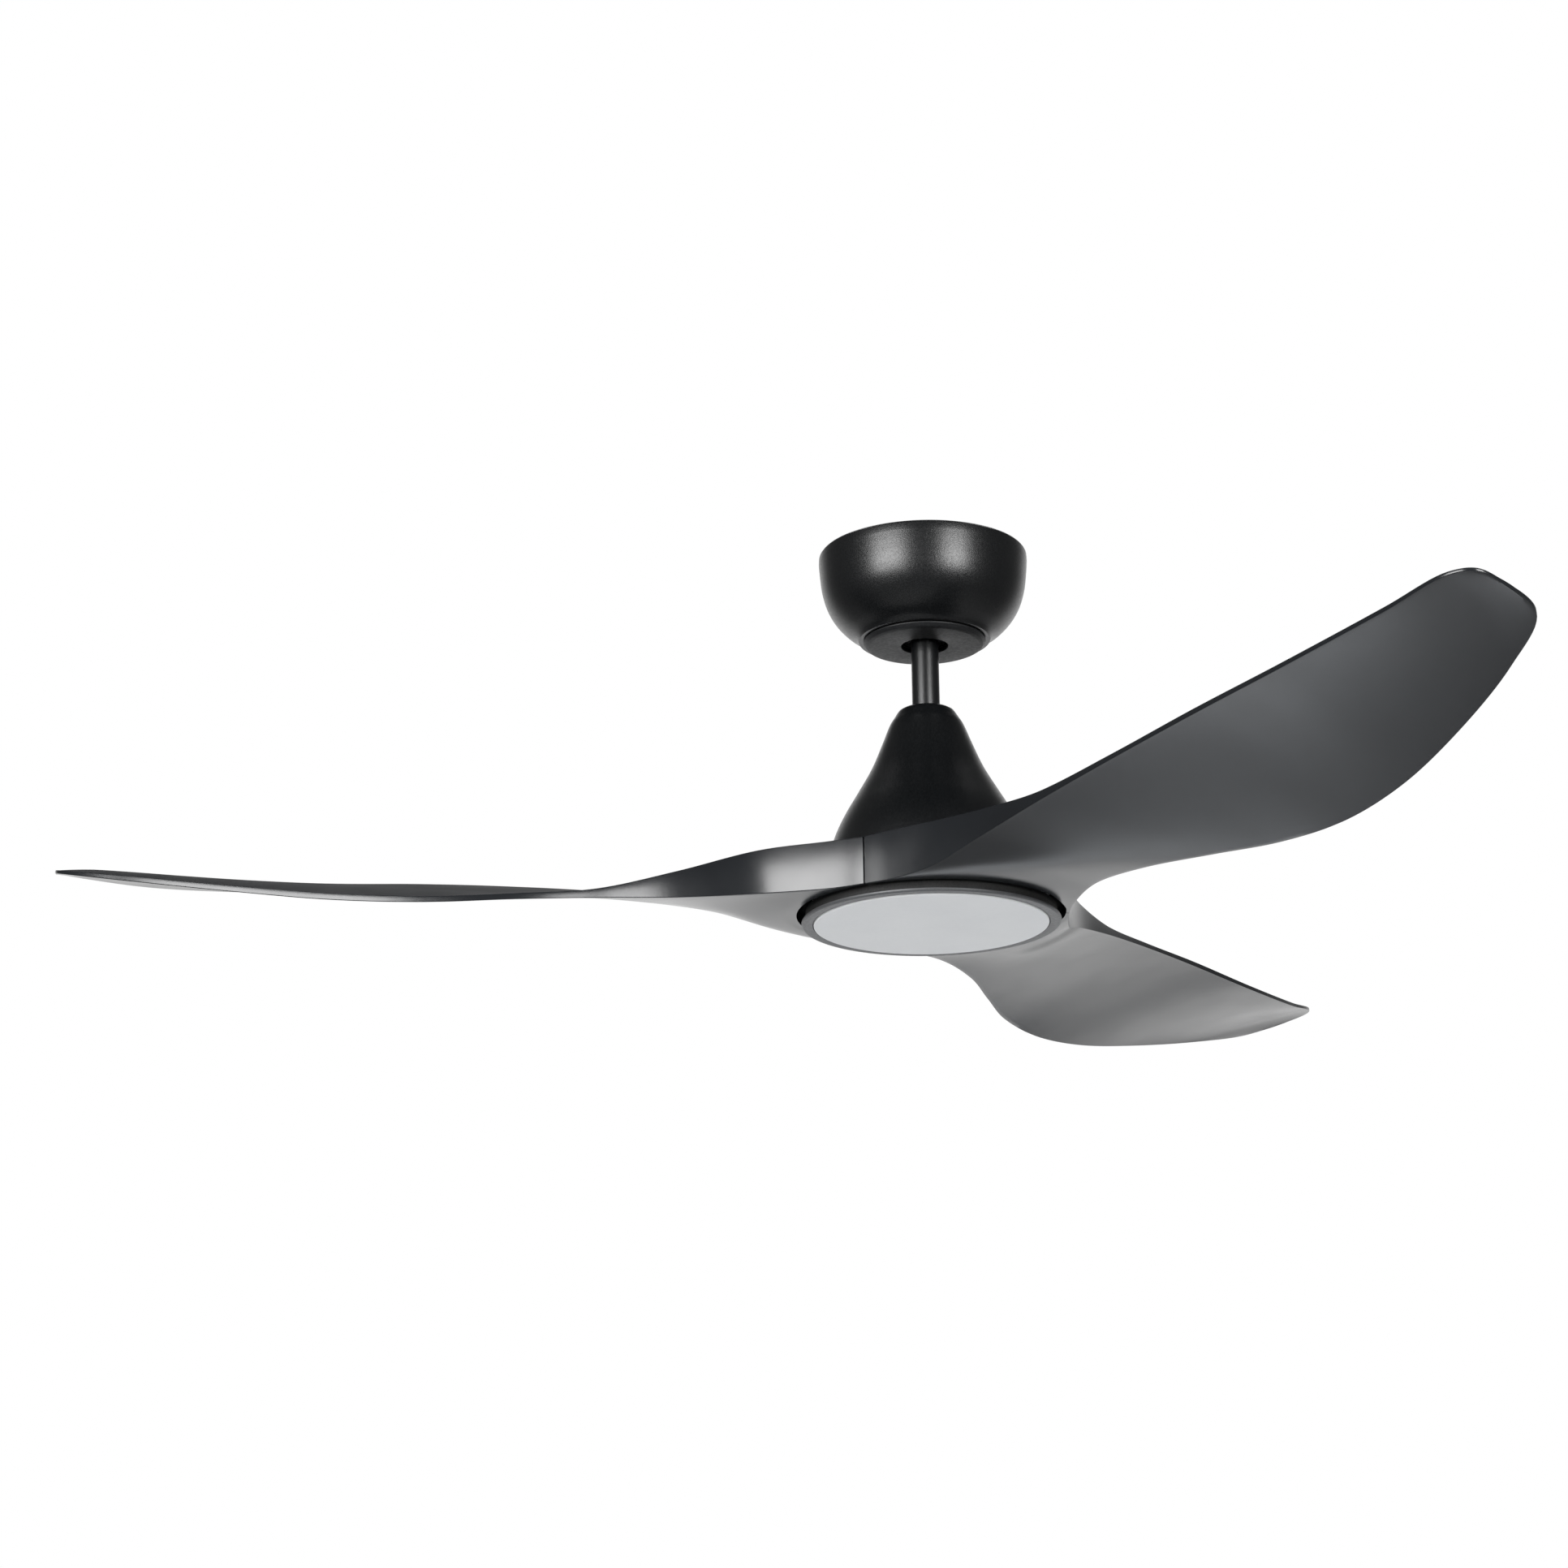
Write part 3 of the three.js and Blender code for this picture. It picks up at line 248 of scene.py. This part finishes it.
MATERIALS = {
    "black_coat": black_coat(),
    "blade_finish": blade_finish(),
    "grey_bezel": grey_bezel(),
    "opal": opal(),
    "copper_wire": copper_wire(),
    "zinc_steel": metal("zinc_steel", (0.50, 0.51, 0.53), (0.68, 0.69, 0.70), (0.24, 0.42)),
    "bare_aluminium": metal(
        "bare_aluminium", (0.56, 0.57, 0.58), (0.70, 0.71, 0.72), (0.38, 0.55), pitting=0.3
    ),
    "dark_steel": metal(
        "dark_steel", (0.14, 0.145, 0.15), (0.24, 0.245, 0.255), (0.3, 0.48), (1, 1, 30)
    ),
    "ferrite": moulded("ferrite", (0.05, 0.05, 0.055), (0.085, 0.085, 0.092), (0.6, 0.8)),
    "black_rubber": moulded("black_rubber", (0.014, 0.014, 0.014), (0.024, 0.024, 0.024), (0.7, 0.9)),
    "white_plastic": moulded("white_plastic", (0.66, 0.66, 0.63), (0.72, 0.72, 0.69), (0.42, 0.6)),
    "circuit_board": moulded(
        "circuit_board", (0.80, 0.80, 0.77), (0.87, 0.87, 0.84), (0.35, 0.5), 300, 0.05
    ),
    "cable_sheath": moulded("cable_sheath", (0.022, 0.022, 0.025), (0.034, 0.034, 0.038), (0.45, 0.6)),
}

# ---- Pieces ----

NODE_SLOT = {row["node"]: row["material_slot"] for row in frame["record"]["subparts"]}
NODE_BODY = {
    node: body for body, nodes in frame["record"]["behaviour"]["bodies"].items() for node in nodes
}


def add_piece(name, mesh, node, material=None):
    """A fine piece that stands for one CAD node and rides on that node's body."""
    mesh.materials.clear()
    mesh.materials.append(material or MATERIALS[NODE_SLOT[node]])
    made = bpy.data.objects.new(name, mesh)
    bpy.context.scene.collection.objects.link(made)
    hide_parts(node)
    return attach(made, NODE_BODY[node])


def mesh_from(name, points, faces, sharp_angle=40):
    mesh = bpy.data.meshes.new(name)
    mesh.from_pydata([tuple(p) for p in points], [], faces)
    shape = bmesh.new()
    shape.from_mesh(mesh)
    bmesh.ops.remove_doubles(shape, verts=shape.verts, dist=1e-6)
    bmesh.ops.recalc_face_normals(shape, faces=shape.faces)
    shape.to_mesh(mesh)
    shape.free()
    mesh.polygons.foreach_set("use_smooth", [True] * len(mesh.polygons))
    mesh.set_sharp_from_angle(angle=math.radians(sharp_angle))
    return mesh


def rounded(profile, radius, steps=4):
    """The closed profile with each of its corners rounded, as far as its sides allow."""
    made = []
    count = len(profile)
    for i in range(count):
        before, corner, after = (Vector(profile[(i + k) % count]) for k in (-1, 0, 1))
        back, ahead = before - corner, after - corner
        turn = math.pi - back.angle(ahead)
        if turn < math.radians(12) or corner.x == 0:
            made.append(corner)
            continue
        cut = min(radius * math.tan(turn / 2), back.length * 0.45, ahead.length * 0.45)
        start, end = corner + back.normalized() * cut, corner + ahead.normalized() * cut
        for k in range(steps + 1):
            t = k / steps
            made.append(start * (1 - t) ** 2 + corner * 2 * t * (1 - t) + end * t**2)
    return made


def turned(name, profile, segments=160, radius=0.0005):
    """A closed profile of (radius, height) turned round the fan's axis."""
    outline = rounded(profile, radius)
    angles = [2 * math.pi * k / segments for k in range(segments)]
    points = [(p.x * math.cos(a), p.x * math.sin(a), p.y) for a in angles for p in outline]
    count = len(outline)
    faces = [
        (
            k * count + i,
            k * count + (i + 1) % count,
            (k + 1) % segments * count + (i + 1) % count,
            (k + 1) % segments * count + i,
        )
        for k in range(segments)
        for i in range(count)
        if outline[i].x > 0 or outline[(i + 1) % count].x > 0
    ]
    faces = [tuple(dict.fromkeys(face)) for face in faces]
    return mesh_from(name, points, faces)


def through(points, steps=6):
    """A smooth curve through the points, by centripetal Catmull-Rom."""
    made = catmull_rom(np.array(points, float), np.linspace(0, 1, steps * (len(points) - 1) + 1))
    return [tuple(p) for p in made]


def catmull_rom(points, places, centripetal=True):
    """Points of the curve at each place from 0 to 1, where each span has an equal share of places."""
    ends = np.vstack([2 * points[0] - points[1], points, 2 * points[-1] - points[-2]])
    spans = len(points) - 1
    made = []
    for place in places:
        span = min(int(place * spans), spans - 1)
        t = place * spans - span
        p0, p1, p2, p3 = ends[span : span + 4]
        if centripetal:
            d0, d1, d2 = (
                max(np.linalg.norm(b - a) ** 0.5, 1e-6) for a, b in ((p0, p1), (p1, p2), (p2, p3))
            )
            m1 = ((p1 - p0) / d0 - (p2 - p0) / (d0 + d1) + (p2 - p1) / d1) * d1
            m2 = ((p2 - p1) / d1 - (p3 - p1) / (d1 + d2) + (p3 - p2) / d2) * d1
        else:
            m1, m2 = (p2 - p0) / 2, (p3 - p1) / 2
        made.append(
            p1
            + m1 * t
            + (3 * (p2 - p1) - 2 * m1 - m2) * t**2
            + (2 * (p1 - p2) + m1 + m2) * t**3
        )
    return np.array(made)


# ---- Canopy, trim ring, rod and cover ----


def add_canopy():
    low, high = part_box("canopy")
    foot, wall = low.z, 0.002
    bowl = through(
        [
            (0.0496, foot),
            (0.0518, foot + 0.003),
            (0.0596, foot + 0.009),
            (0.0674, foot + 0.0175),
            (0.0731, foot + 0.0275),
            (0.0767, foot + 0.0395),
            (0.0784, foot + 0.0525),
            (0.0791, foot + 0.0615),
        ]
    )
    inside = [(r - wall, z + 0.0008) for r, z in bowl[3::3]]
    profile = [
        (0.020, foot),
        *bowl,
        (0.0789, high.z - 0.0014),
        (0.0779, high.z),
        (0.0764, high.z),
        *reversed(inside),
        (0.0465, foot + wall),
        (0.020, foot + wall),
    ]
    add_piece("canopy_bowl", turned("canopy_bowl", profile, 192, 0.0006), "canopy")


def add_trim_ring():
    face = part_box("canopy_trim_ring")[0].z
    rim = 0.0462
    profile = [
        (0.0178, face),
        (rim - 0.0051, face),
        (rim - 0.0041, face + 0.0002),
        (rim - 0.0021, face + 0.0008),
        (rim, face + 0.003),
        (rim, face + 0.0042),
        (rim - 0.0036, face + 0.002),
        (0.0178, face + 0.002),
    ]
    disc = turned("trim_disc", profile, 192, 0.0005)
    add_piece("trim_disc", disc, "canopy_trim_ring", trim_plastic())


def add_rod():
    low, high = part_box("downrod")
    profile = [
        (high.x - 0.0018, low.z),
        (high.x, low.z),
        (high.x, high.z),
        (high.x - 0.0018, high.z),
    ]
    add_piece("rod_tube", turned("rod_tube", profile, 96, 0.0004), "downrod")


def add_cover():
    low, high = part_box("motor_cover")
    foot, wall = low.z, 0.0025
    slope = through(
        [
            (0.0766, foot),
            (0.0730, foot + 0.0135),
            (0.0686, foot + 0.0255),
            (0.0622, foot + 0.0385),
            (0.0534, foot + 0.0535),
            (0.0421, foot + 0.0735),
            (0.0336, foot + 0.0935),
            (0.0275, foot + 0.1085),
            (0.0244, foot + 0.1135),
            (0.0226, foot + 0.1165),
        ]
    )
    inside = [(r - wall, z - 0.0009) for r, z in slope[2:-2:3]]
    profile = [
        *slope,
        (0.0210, high.z - 0.0019),
        (0.0186, high.z - 0.0004),
        (0.0160, high.z),
        (0.0111, high.z),
        (0.0111, high.z - 0.003),
        (0.0176, high.z - 0.0042),
        *reversed(inside),
        (0.0766 - wall, foot),
    ]
    add_piece("cover_cone", turned("cover_cone", profile, 192, 0.0006), "motor_cover")


# ---- Light ----


def add_light():
    low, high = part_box("light_bezel")
    rim, wall, inside = 0.0958, 0.0928, 0.0906
    rim_height = 0.003
    bezel = [
        (0.0875, low.z + 0.0002),
        (rim - 0.0014, low.z),
        (rim - 0.0003, low.z + 0.0006),
        (rim, low.z + 0.0012),
        (rim, low.z + 0.0022),
        (wall, low.z + 0.0028),
        (wall, high.z),
        (inside, high.z),
        (inside, low.z + 0.0026),
        (0.0875, low.z + 0.0026),
    ]
    ring = add_piece("bezel_ring", turned("bezel_ring", bezel, 224, 0.0003), "light_bezel")

    # The wall set back above the rim is matt black, which is painted shade: it stands for the shadow
    # in the gap under the hub.
    ring.data.materials.append(MATERIALS["black_rubber"])
    # Painted shade: the faces above the rim take the matt black.
    for face in ring.data.polygons:
        if face.center.z > low.z + rim_height:
            face.material_index = 1

    low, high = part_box("diffuser")
    edge = 0.087
    dish = [
        (0, low.z),
        (0.04, low.z),
        (edge - 0.0012, low.z),
        (edge - 0.0003, low.z + 0.0005),
        (edge, low.z + 0.0013),
        (edge, high.z),
        (edge - 0.002, high.z),
        (edge - 0.002, low.z + 0.0024),
        (0, low.z + 0.0024),
    ]
    add_piece("diffuser_dish", turned("diffuser_dish", dish, 224, 0.0003), "diffuser")


# ---- Blades ----

DROP = 0.291  # ceiling to the face of the diffuser
BLADE_ANGLES = [-57.6, 62.4, 182.4]
HUB_RADIUS = 0.102
HUB_CAVITY = 0.0995
HUB_BORE = 0.078
HUB_BOTTOM = 0.0085
HUB_HEIGHT = 0.035
HUB_TOP_PLATE = 0.005
SEAM_GAP = 0.0012

# The lower edge of a blade in millimetres, as the CAD source has it: along the blade, across it,
# above the diffuser's face, and the height of the edge band.
LEADING_EDGE = [
    (70.5, -78, 8.5, 36),
    (102, -64.5, 11.5, 33),
    (148, -52, 23.5, 19.5),
    (212.5, -46, 33, 6.8),
    (295, -42.5, 40.5, 3.8),
    (387, -43.5, 44.5, 3.8),
    (486, -50, 44.5, 3.3),
    (585, -49.5, 49.5, 3),
    (637, -44.5, 56, 2.4),
    (650.5, -34, 56, 2.2),
]
BLADE_TIP = (651, -15, 51.5, 2.4)
TRAILING_EDGE = [
    (74.5, 76.5, 8.5, 35.5),
    (127, 61, 9.5, 32.5),
    (184, 63, 7, 20),
    (242, 77.5, 3.5, 7),
    (299, 91, -0.5, 4.5),
    (363, 93.5, -2.5, 4.5),
    (431, 86, 2, 5),
    (503, 70.5, 13, 4.6),
    (588, 44.5, 29.5, 4),
    (641, 18.5, 42.5, 2.8),
]
# At the seam and at each station: the row's bow outwards, the dome of the top, the hollow below.
ROW_SHAPE = [
    (51, 0, 0),
    (38, 0, 0),
    (22, 0, 0),
    (8, 0, 0),
    (2, 0, 0),
    (0, 0, 1),
    (0, 3, 3),
    (0, 6, 4.5),
    (3, 6, 4.5),
    (9, 3.5, 3),
    (6, 0, 0),
]
ROWS_PER_STATION = 10
COLUMNS = 40
OUTLINE_INSET = 0.00015  # keeps the finer outline within the CAD blade's straight facets
EDGE_ROUNDING = 0.0005
EDGE_ROUNDING_SHARE = 0.42  # of the band's height, where the band is too thin for that
EDGE_STEPS = 4
BLADE_SHARP_ANGLE = 32
LAST_ROW = len(LEADING_EDGE) * ROWS_PER_STATION
INNER_RADII = {"low": [HUB_CAVITY], "high": [HUB_BORE, 0.5 * (HUB_BORE + HUB_RADIUS)]}
TOP_FACING = 0.3  # a face whose normal rises more than this belongs to the matt upper side, painted a lighter black


def seam_point(radius, side):
    angle, inwards = math.radians(side * 60), math.radians(side * -30)
    return (
        radius * math.cos(angle) + SEAM_GAP / 2 * math.cos(inwards),
        radius * math.sin(angle) + SEAM_GAP / 2 * math.sin(inwards),
        HUB_BOTTOM,
        HUB_HEIGHT,
    )


def blade_outline():
    stations = np.array([*LEADING_EDGE, BLADE_TIP, *reversed(TRAILING_EDGE)], float) / 1000
    return np.vstack([seam_point(HUB_RADIUS, -1), stations, seam_point(HUB_RADIUS, 1)])


def arc_row(radius):
    """Points of a hub arc between the two seams."""
    start, end = (np.array(seam_point(radius, side)[:2]) for side in (-1, 1))
    angles = np.linspace(math.atan2(start[1], start[0]), math.atan2(end[1], end[0]), COLUMNS + 1)
    return np.column_stack([radius * np.cos(angles), radius * np.sin(angles)])


def blade_edge():
    """The edge all round a blade: its points, the level way inwards, and the height of its band."""
    outline = blade_outline()
    spans = len(outline) - 1
    shares = [i / ROWS_PER_STATION / spans for i in range(LAST_ROW + 1)]
    tip_shares = [shares[-1] + (1 - 2 * shares[-1]) * c / COLUMNS for c in range(1, COLUMNS)]
    places = np.array([*shares, *tip_shares, *(1 - s for s in reversed(shares))])
    edge = catmull_rom(outline[:, :3], places)
    edge[:, 2] = np.maximum(edge[:, 2], outline[:, 2].min())
    band = catmull_rom(outline[:, 3:], places, centripetal=False)[:, 0]
    tangent = np.gradient(edge[:, :2], axis=0)
    tangent /= np.linalg.norm(tangent, axis=1)[:, None]
    inwards = np.column_stack([-tangent[:, 1], tangent[:, 0], np.zeros(len(edge))])
    edge += inwards * OUTLINE_INSET
    return edge, inwards, band


class BladeMesh:
    """One blade: rows across it for the top and the underside, and an edge band round them."""

    def __init__(self):
        edge, self.inwards, self.band = blade_edge()
        self.rounding = np.minimum(EDGE_ROUNDING, self.band * EDGE_ROUNDING_SHARE)
        self.inset = edge + self.inwards * self.rounding[:, None]
        row_places = np.linspace(0, 1, LAST_ROW + 1)
        self.shape = catmull_rom(np.array(ROW_SHAPE, float) / 1000, row_places, False)
        self.points = []
        self.faces = []
        self.rows = {side: self.surface_rows(side) for side in INNER_RADII}
        for rows in self.rows.values():
            self.join(rows)
        self.loops = self.edge_loops()
        self.join(self.loops, turned_over=True)
        self.close_hub()

    def add_points(self, places):
        first = len(self.points)
        self.points.extend(places)
        return list(range(first, len(self.points)))

    def join(self, lines, turned_over=False):
        """Fills the space between each line of points and the next with four-sided faces."""
        for lower, upper in zip(lines, lines[1:]):
            for i in range(len(lower) - 1):
                if turned_over:
                    self.faces.append((lower[i], lower[i + 1], upper[i + 1], upper[i]))
                else:
                    self.faces.append((lower[i], upper[i], upper[i + 1], lower[i + 1]))

    def surface_rows(self, side):
        """Rows of points across the top or the underside, from the hub out to the tip."""
        lift = 1 if side == "high" else 0
        level = HUB_BOTTOM + lift * HUB_HEIGHT
        rows = []
        for radius in INNER_RADII[side]:
            rows.append(self.add_points([(x, y, level) for x, y in arc_row(radius)]))
        for i in range(LAST_ROW):
            rows.append(self.add_points(self.cross_row(i, lift)))
        tip = slice(LAST_ROW, LAST_ROW + COLUMNS + 1)
        tip_row = self.inset[tip] + np.outer(self.band[tip] * lift, (0, 0, 1))
        rows.append(self.add_points(tip_row))
        return rows

    def cross_row(self, i, lift):
        start, end = self.inset[i], self.inset[-1 - i]
        across = np.linspace(0, 1, COLUMNS + 1)
        hump = 4 * across * (1 - across)
        outwards = np.array((end[1] - start[1], start[0] - end[0], 0))
        outwards /= np.linalg.norm(outwards)
        height = self.band[i] + (self.band[-1 - i] - self.band[i]) * across
        bow, dome, hollow = self.shape[i]
        bulge = dome if lift else hollow
        row = start + np.outer(across, end - start) + np.outer(hump * bow, outwards)
        row[:, 2] += lift * height + bulge * hump
        return row

    def boundary(self, side):
        rows = self.rows[side][len(INNER_RADII[side]) :]
        return [*(row[0] for row in rows), *rows[-1][1:-1], *(row[-1] for row in reversed(rows))]

    def edge_ring(self, turn, height):
        """The edge at one step of its rounding, where turn goes from level to upright."""
        ring = self.inset - self.inwards * (self.rounding * math.sin(turn))[:, None]
        ring[:, 2] += height
        return self.add_points(ring)

    def edge_loops(self):
        """The rounded edge band, from the underside's boundary up to the top's."""
        loops = [self.boundary("low")]
        turns = [math.pi / 2 * k / EDGE_STEPS for k in range(1, EDGE_STEPS + 1)]
        for turn in turns:
            loops.append(self.edge_ring(turn, self.rounding * (1 - math.cos(turn))))
        for turn in reversed(turns):
            height = self.band - self.rounding * (1 - math.cos(turn))
            loops.append(self.edge_ring(turn, height))
        loops.append(self.boundary("high"))
        return loops

    def close_hub(self):
        """Inside the hub: the cavity's wall, the underside of the top plate, the bore, the seams."""
        under_plate = HUB_BOTTOM + HUB_HEIGHT - HUB_TOP_PLATE
        wall_top = self.add_points([(x, y, under_plate) for x, y in arc_row(HUB_CAVITY)])
        bore_foot = self.add_points([(x, y, under_plate) for x, y in arc_row(HUB_BORE)])
        low, high = self.rows["low"], self.rows["high"]
        self.join([low[0], wall_top, bore_foot, high[0]], turned_over=True)
        for end in (0, -1):
            low_side = [row[end] for row in low[: len(INNER_RADII["low"]) + 1]]
            high_side = [row[end] for row in high[: len(INNER_RADII["high"]) + 1]]
            seam = [*low_side, *(loop[end] for loop in self.loops[1:-1]), *reversed(high_side)]
            self.faces.append((*seam, bore_foot[end], wall_top[end]))


def add_blades():
    shape = BladeMesh()
    pattern = mesh_from("blade", shape.points, shape.faces, BLADE_SHARP_ANGLE)
    lightened_top_finish = lightened_blade_top()
    for i, angle in enumerate(BLADE_ANGLES, 1):
        mesh = pattern.copy()
        mesh.transform(
            Matrix.Translation((0, 0, -DROP)) @ Matrix.Rotation(math.radians(angle), 4, "Z")
        )
        skin = add_piece(f"blade_skin_{i}", mesh, f"blade_{i}")
        # Upward faces take the matt top finish, whose lighter black is painted light.
        skin.data.materials.append(lightened_top_finish)
        for face in skin.data.polygons:
            if face.normal.z > TOP_FACING:
                face.material_index = 1
    bpy.data.meshes.remove(pattern)


# ---- The CAD nodes that stay ----


def dress_cad_nodes():
    """Procedural finishes on the CAD nodes that show as they are."""
    for name, node in frame["nodes"].items():
        for slot in node.material_slots:
            slot.material = MATERIALS[NODE_SLOT[name]]
        weld = node.modifiers.new("weld", "WELD")
        weld.merge_threshold = 1e-6
        bevel = node.modifiers.new("bevel", "BEVEL")
        bevel.width = 0.0002
        bevel.segments = 2
        bevel.limit_method = "ANGLE"
        bevel.angle_limit = math.radians(35)


add_canopy()
add_trim_ring()
add_rod()
add_cover()
add_light()
add_blades()
dress_cad_nodes()

# ---- Studio ----

FLOOR_DEPTH = 3.6
FLOOR_RADIUS = 7
FLOOR_SIDES = 96
BACKDROP_LIGHT = 1.45
SIDE_LIGHT = 0.16
SKY_LIGHT = 0.01
BACKDROP_EDGE = (0.62, 0.92)  # how far towards +Y a direction points where the backdrop fades in
BACKDROP_TOP = (0.45, 0.90)  # how far up a direction points where it fades out


def add_floor():
    """A plain pale floor well below the fan, seen evenly bright all over."""
    angles = [2 * math.pi * k / FLOOR_SIDES for k in range(FLOOR_SIDES)]
    rim = [(FLOOR_RADIUS * math.cos(a), FLOOR_RADIUS * math.sin(a), -FLOOR_DEPTH) for a in angles]
    mesh = mesh_from("floor", rim, [tuple(range(FLOOR_SIDES))])
    finish = Finish("floor", Specular_IOR_Level=0.2)
    finish.colour(finish.noise(3, 2), (0.80, 0.80, 0.795), (0.83, 0.83, 0.825))
    finish.roughness(finish.noise(20, 2), 0.75, 0.85)
    even = finish.node("ShaderNodeEmission", Color=(0.80, 0.80, 0.80, 1))
    mix = finish.node("ShaderNodeMixShader")
    finish.link(finish.node("ShaderNodeLightPath").outputs["Is Camera Ray"], mix.inputs["Fac"])
    finish.link(finish.shader.outputs["BSDF"], mix.inputs[1])
    finish.link(even.outputs["Emission"], mix.inputs[2])
    finish.link(mix.outputs["Shader"], finish.tree.nodes["Material Output"].inputs["Surface"])
    mesh.materials.append(finish.material)
    floor = bpy.data.objects.new("floor", mesh)
    bpy.context.scene.collection.objects.link(floor)


def add_softbox(name, place, aim, width, height, power, reflected=True, tint=(1, 1, 1)):
    """A soft rectangular light; one that isn't reflected only brightens matt surfaces."""
    data = bpy.data.lights.new(name, "AREA")
    data.shape = "RECTANGLE"
    data.size = width
    data.size_y = height
    data.energy = power
    data.color = tint
    light = bpy.data.objects.new(name, data)
    light.location = place
    light.rotation_mode = "QUATERNION"
    light.rotation_quaternion = (Vector(aim) - Vector(place)).to_track_quat("-Z", "Y")
    light.visible_camera = False
    light.visible_glossy = reflected
    bpy.context.scene.collection.objects.link(light)


def add_world():
    """A white background, whose light comes mostly from behind the fan and little from above."""
    world = bpy.data.worlds.new("world")
    world.use_nodes = True
    bpy.context.scene.world = world
    tree = world.node_tree
    tree.nodes.clear()
    links = tree.links
    direction = tree.nodes.new("ShaderNodeTexCoord")
    split = tree.nodes.new("ShaderNodeSeparateXYZ")
    links.new(direction.outputs["Generated"], split.inputs["Vector"])

    def fade(axis, start, end, low, high):
        made = tree.nodes.new("ShaderNodeMapRange")
        made.interpolation_type = "SMOOTHSTEP"
        for key, value in (
            ("From Min", start),
            ("From Max", end),
            ("To Min", low),
            ("To Max", high),
        ):
            made.inputs[key].default_value = value
        links.new(split.outputs[axis], made.inputs["Value"])
        return made.outputs["Result"]

    behind = fade("Y", *BACKDROP_EDGE, SIDE_LIGHT / BACKDROP_LIGHT, 1)
    below = fade("Z", *BACKDROP_TOP, BACKDROP_LIGHT, SKY_LIGHT)
    product = tree.nodes.new("ShaderNodeMath")
    product.operation = "MULTIPLY"
    links.new(behind, product.inputs[0])
    links.new(below, product.inputs[1])
    light = tree.nodes.new("ShaderNodeBackground")
    links.new(product.outputs["Value"], light.inputs["Strength"])
    seen = tree.nodes.new("ShaderNodeBackground")
    seen.inputs["Color"].default_value = (1, 1, 1, 1)
    path = tree.nodes.new("ShaderNodeLightPath")
    mix = tree.nodes.new("ShaderNodeMixShader")
    output = tree.nodes.new("ShaderNodeOutputWorld")
    links.new(path.outputs["Is Camera Ray"], mix.inputs["Fac"])
    links.new(light.outputs["Background"], mix.inputs[1])
    links.new(seen.outputs["Background"], mix.inputs[2])
    links.new(mix.outputs["Shader"], output.inputs["Surface"])


def add_lights():
    middle = (0, 0, -0.15)
    add_softbox("left_softbox", (-1.76, -2.31, 0.05), middle, 1.8, 1.3, 105)
    add_softbox("right_softbox", (1.66, -2.38, 0.05), middle, 1.3, 1.3, 78)
    add_softbox("high_softbox", (0, 1.5, 2.7), middle, 2.8, 1.0, 30)
    cool = (0.90, 0.94, 1.0)
    add_softbox("floor_light", (0.2, 5.0, -2.1), (0.2, 5.0, -3.6), 2.6, 2.0, 58, False, cool)
    add_softbox("diffuser_fill", (0, -0.4, -2.4), middle, 1.5, 1.5, 17, False, cool)


add_floor()
add_world()
add_lights()
bpy.context.scene.view_settings.view_transform = "Standard"
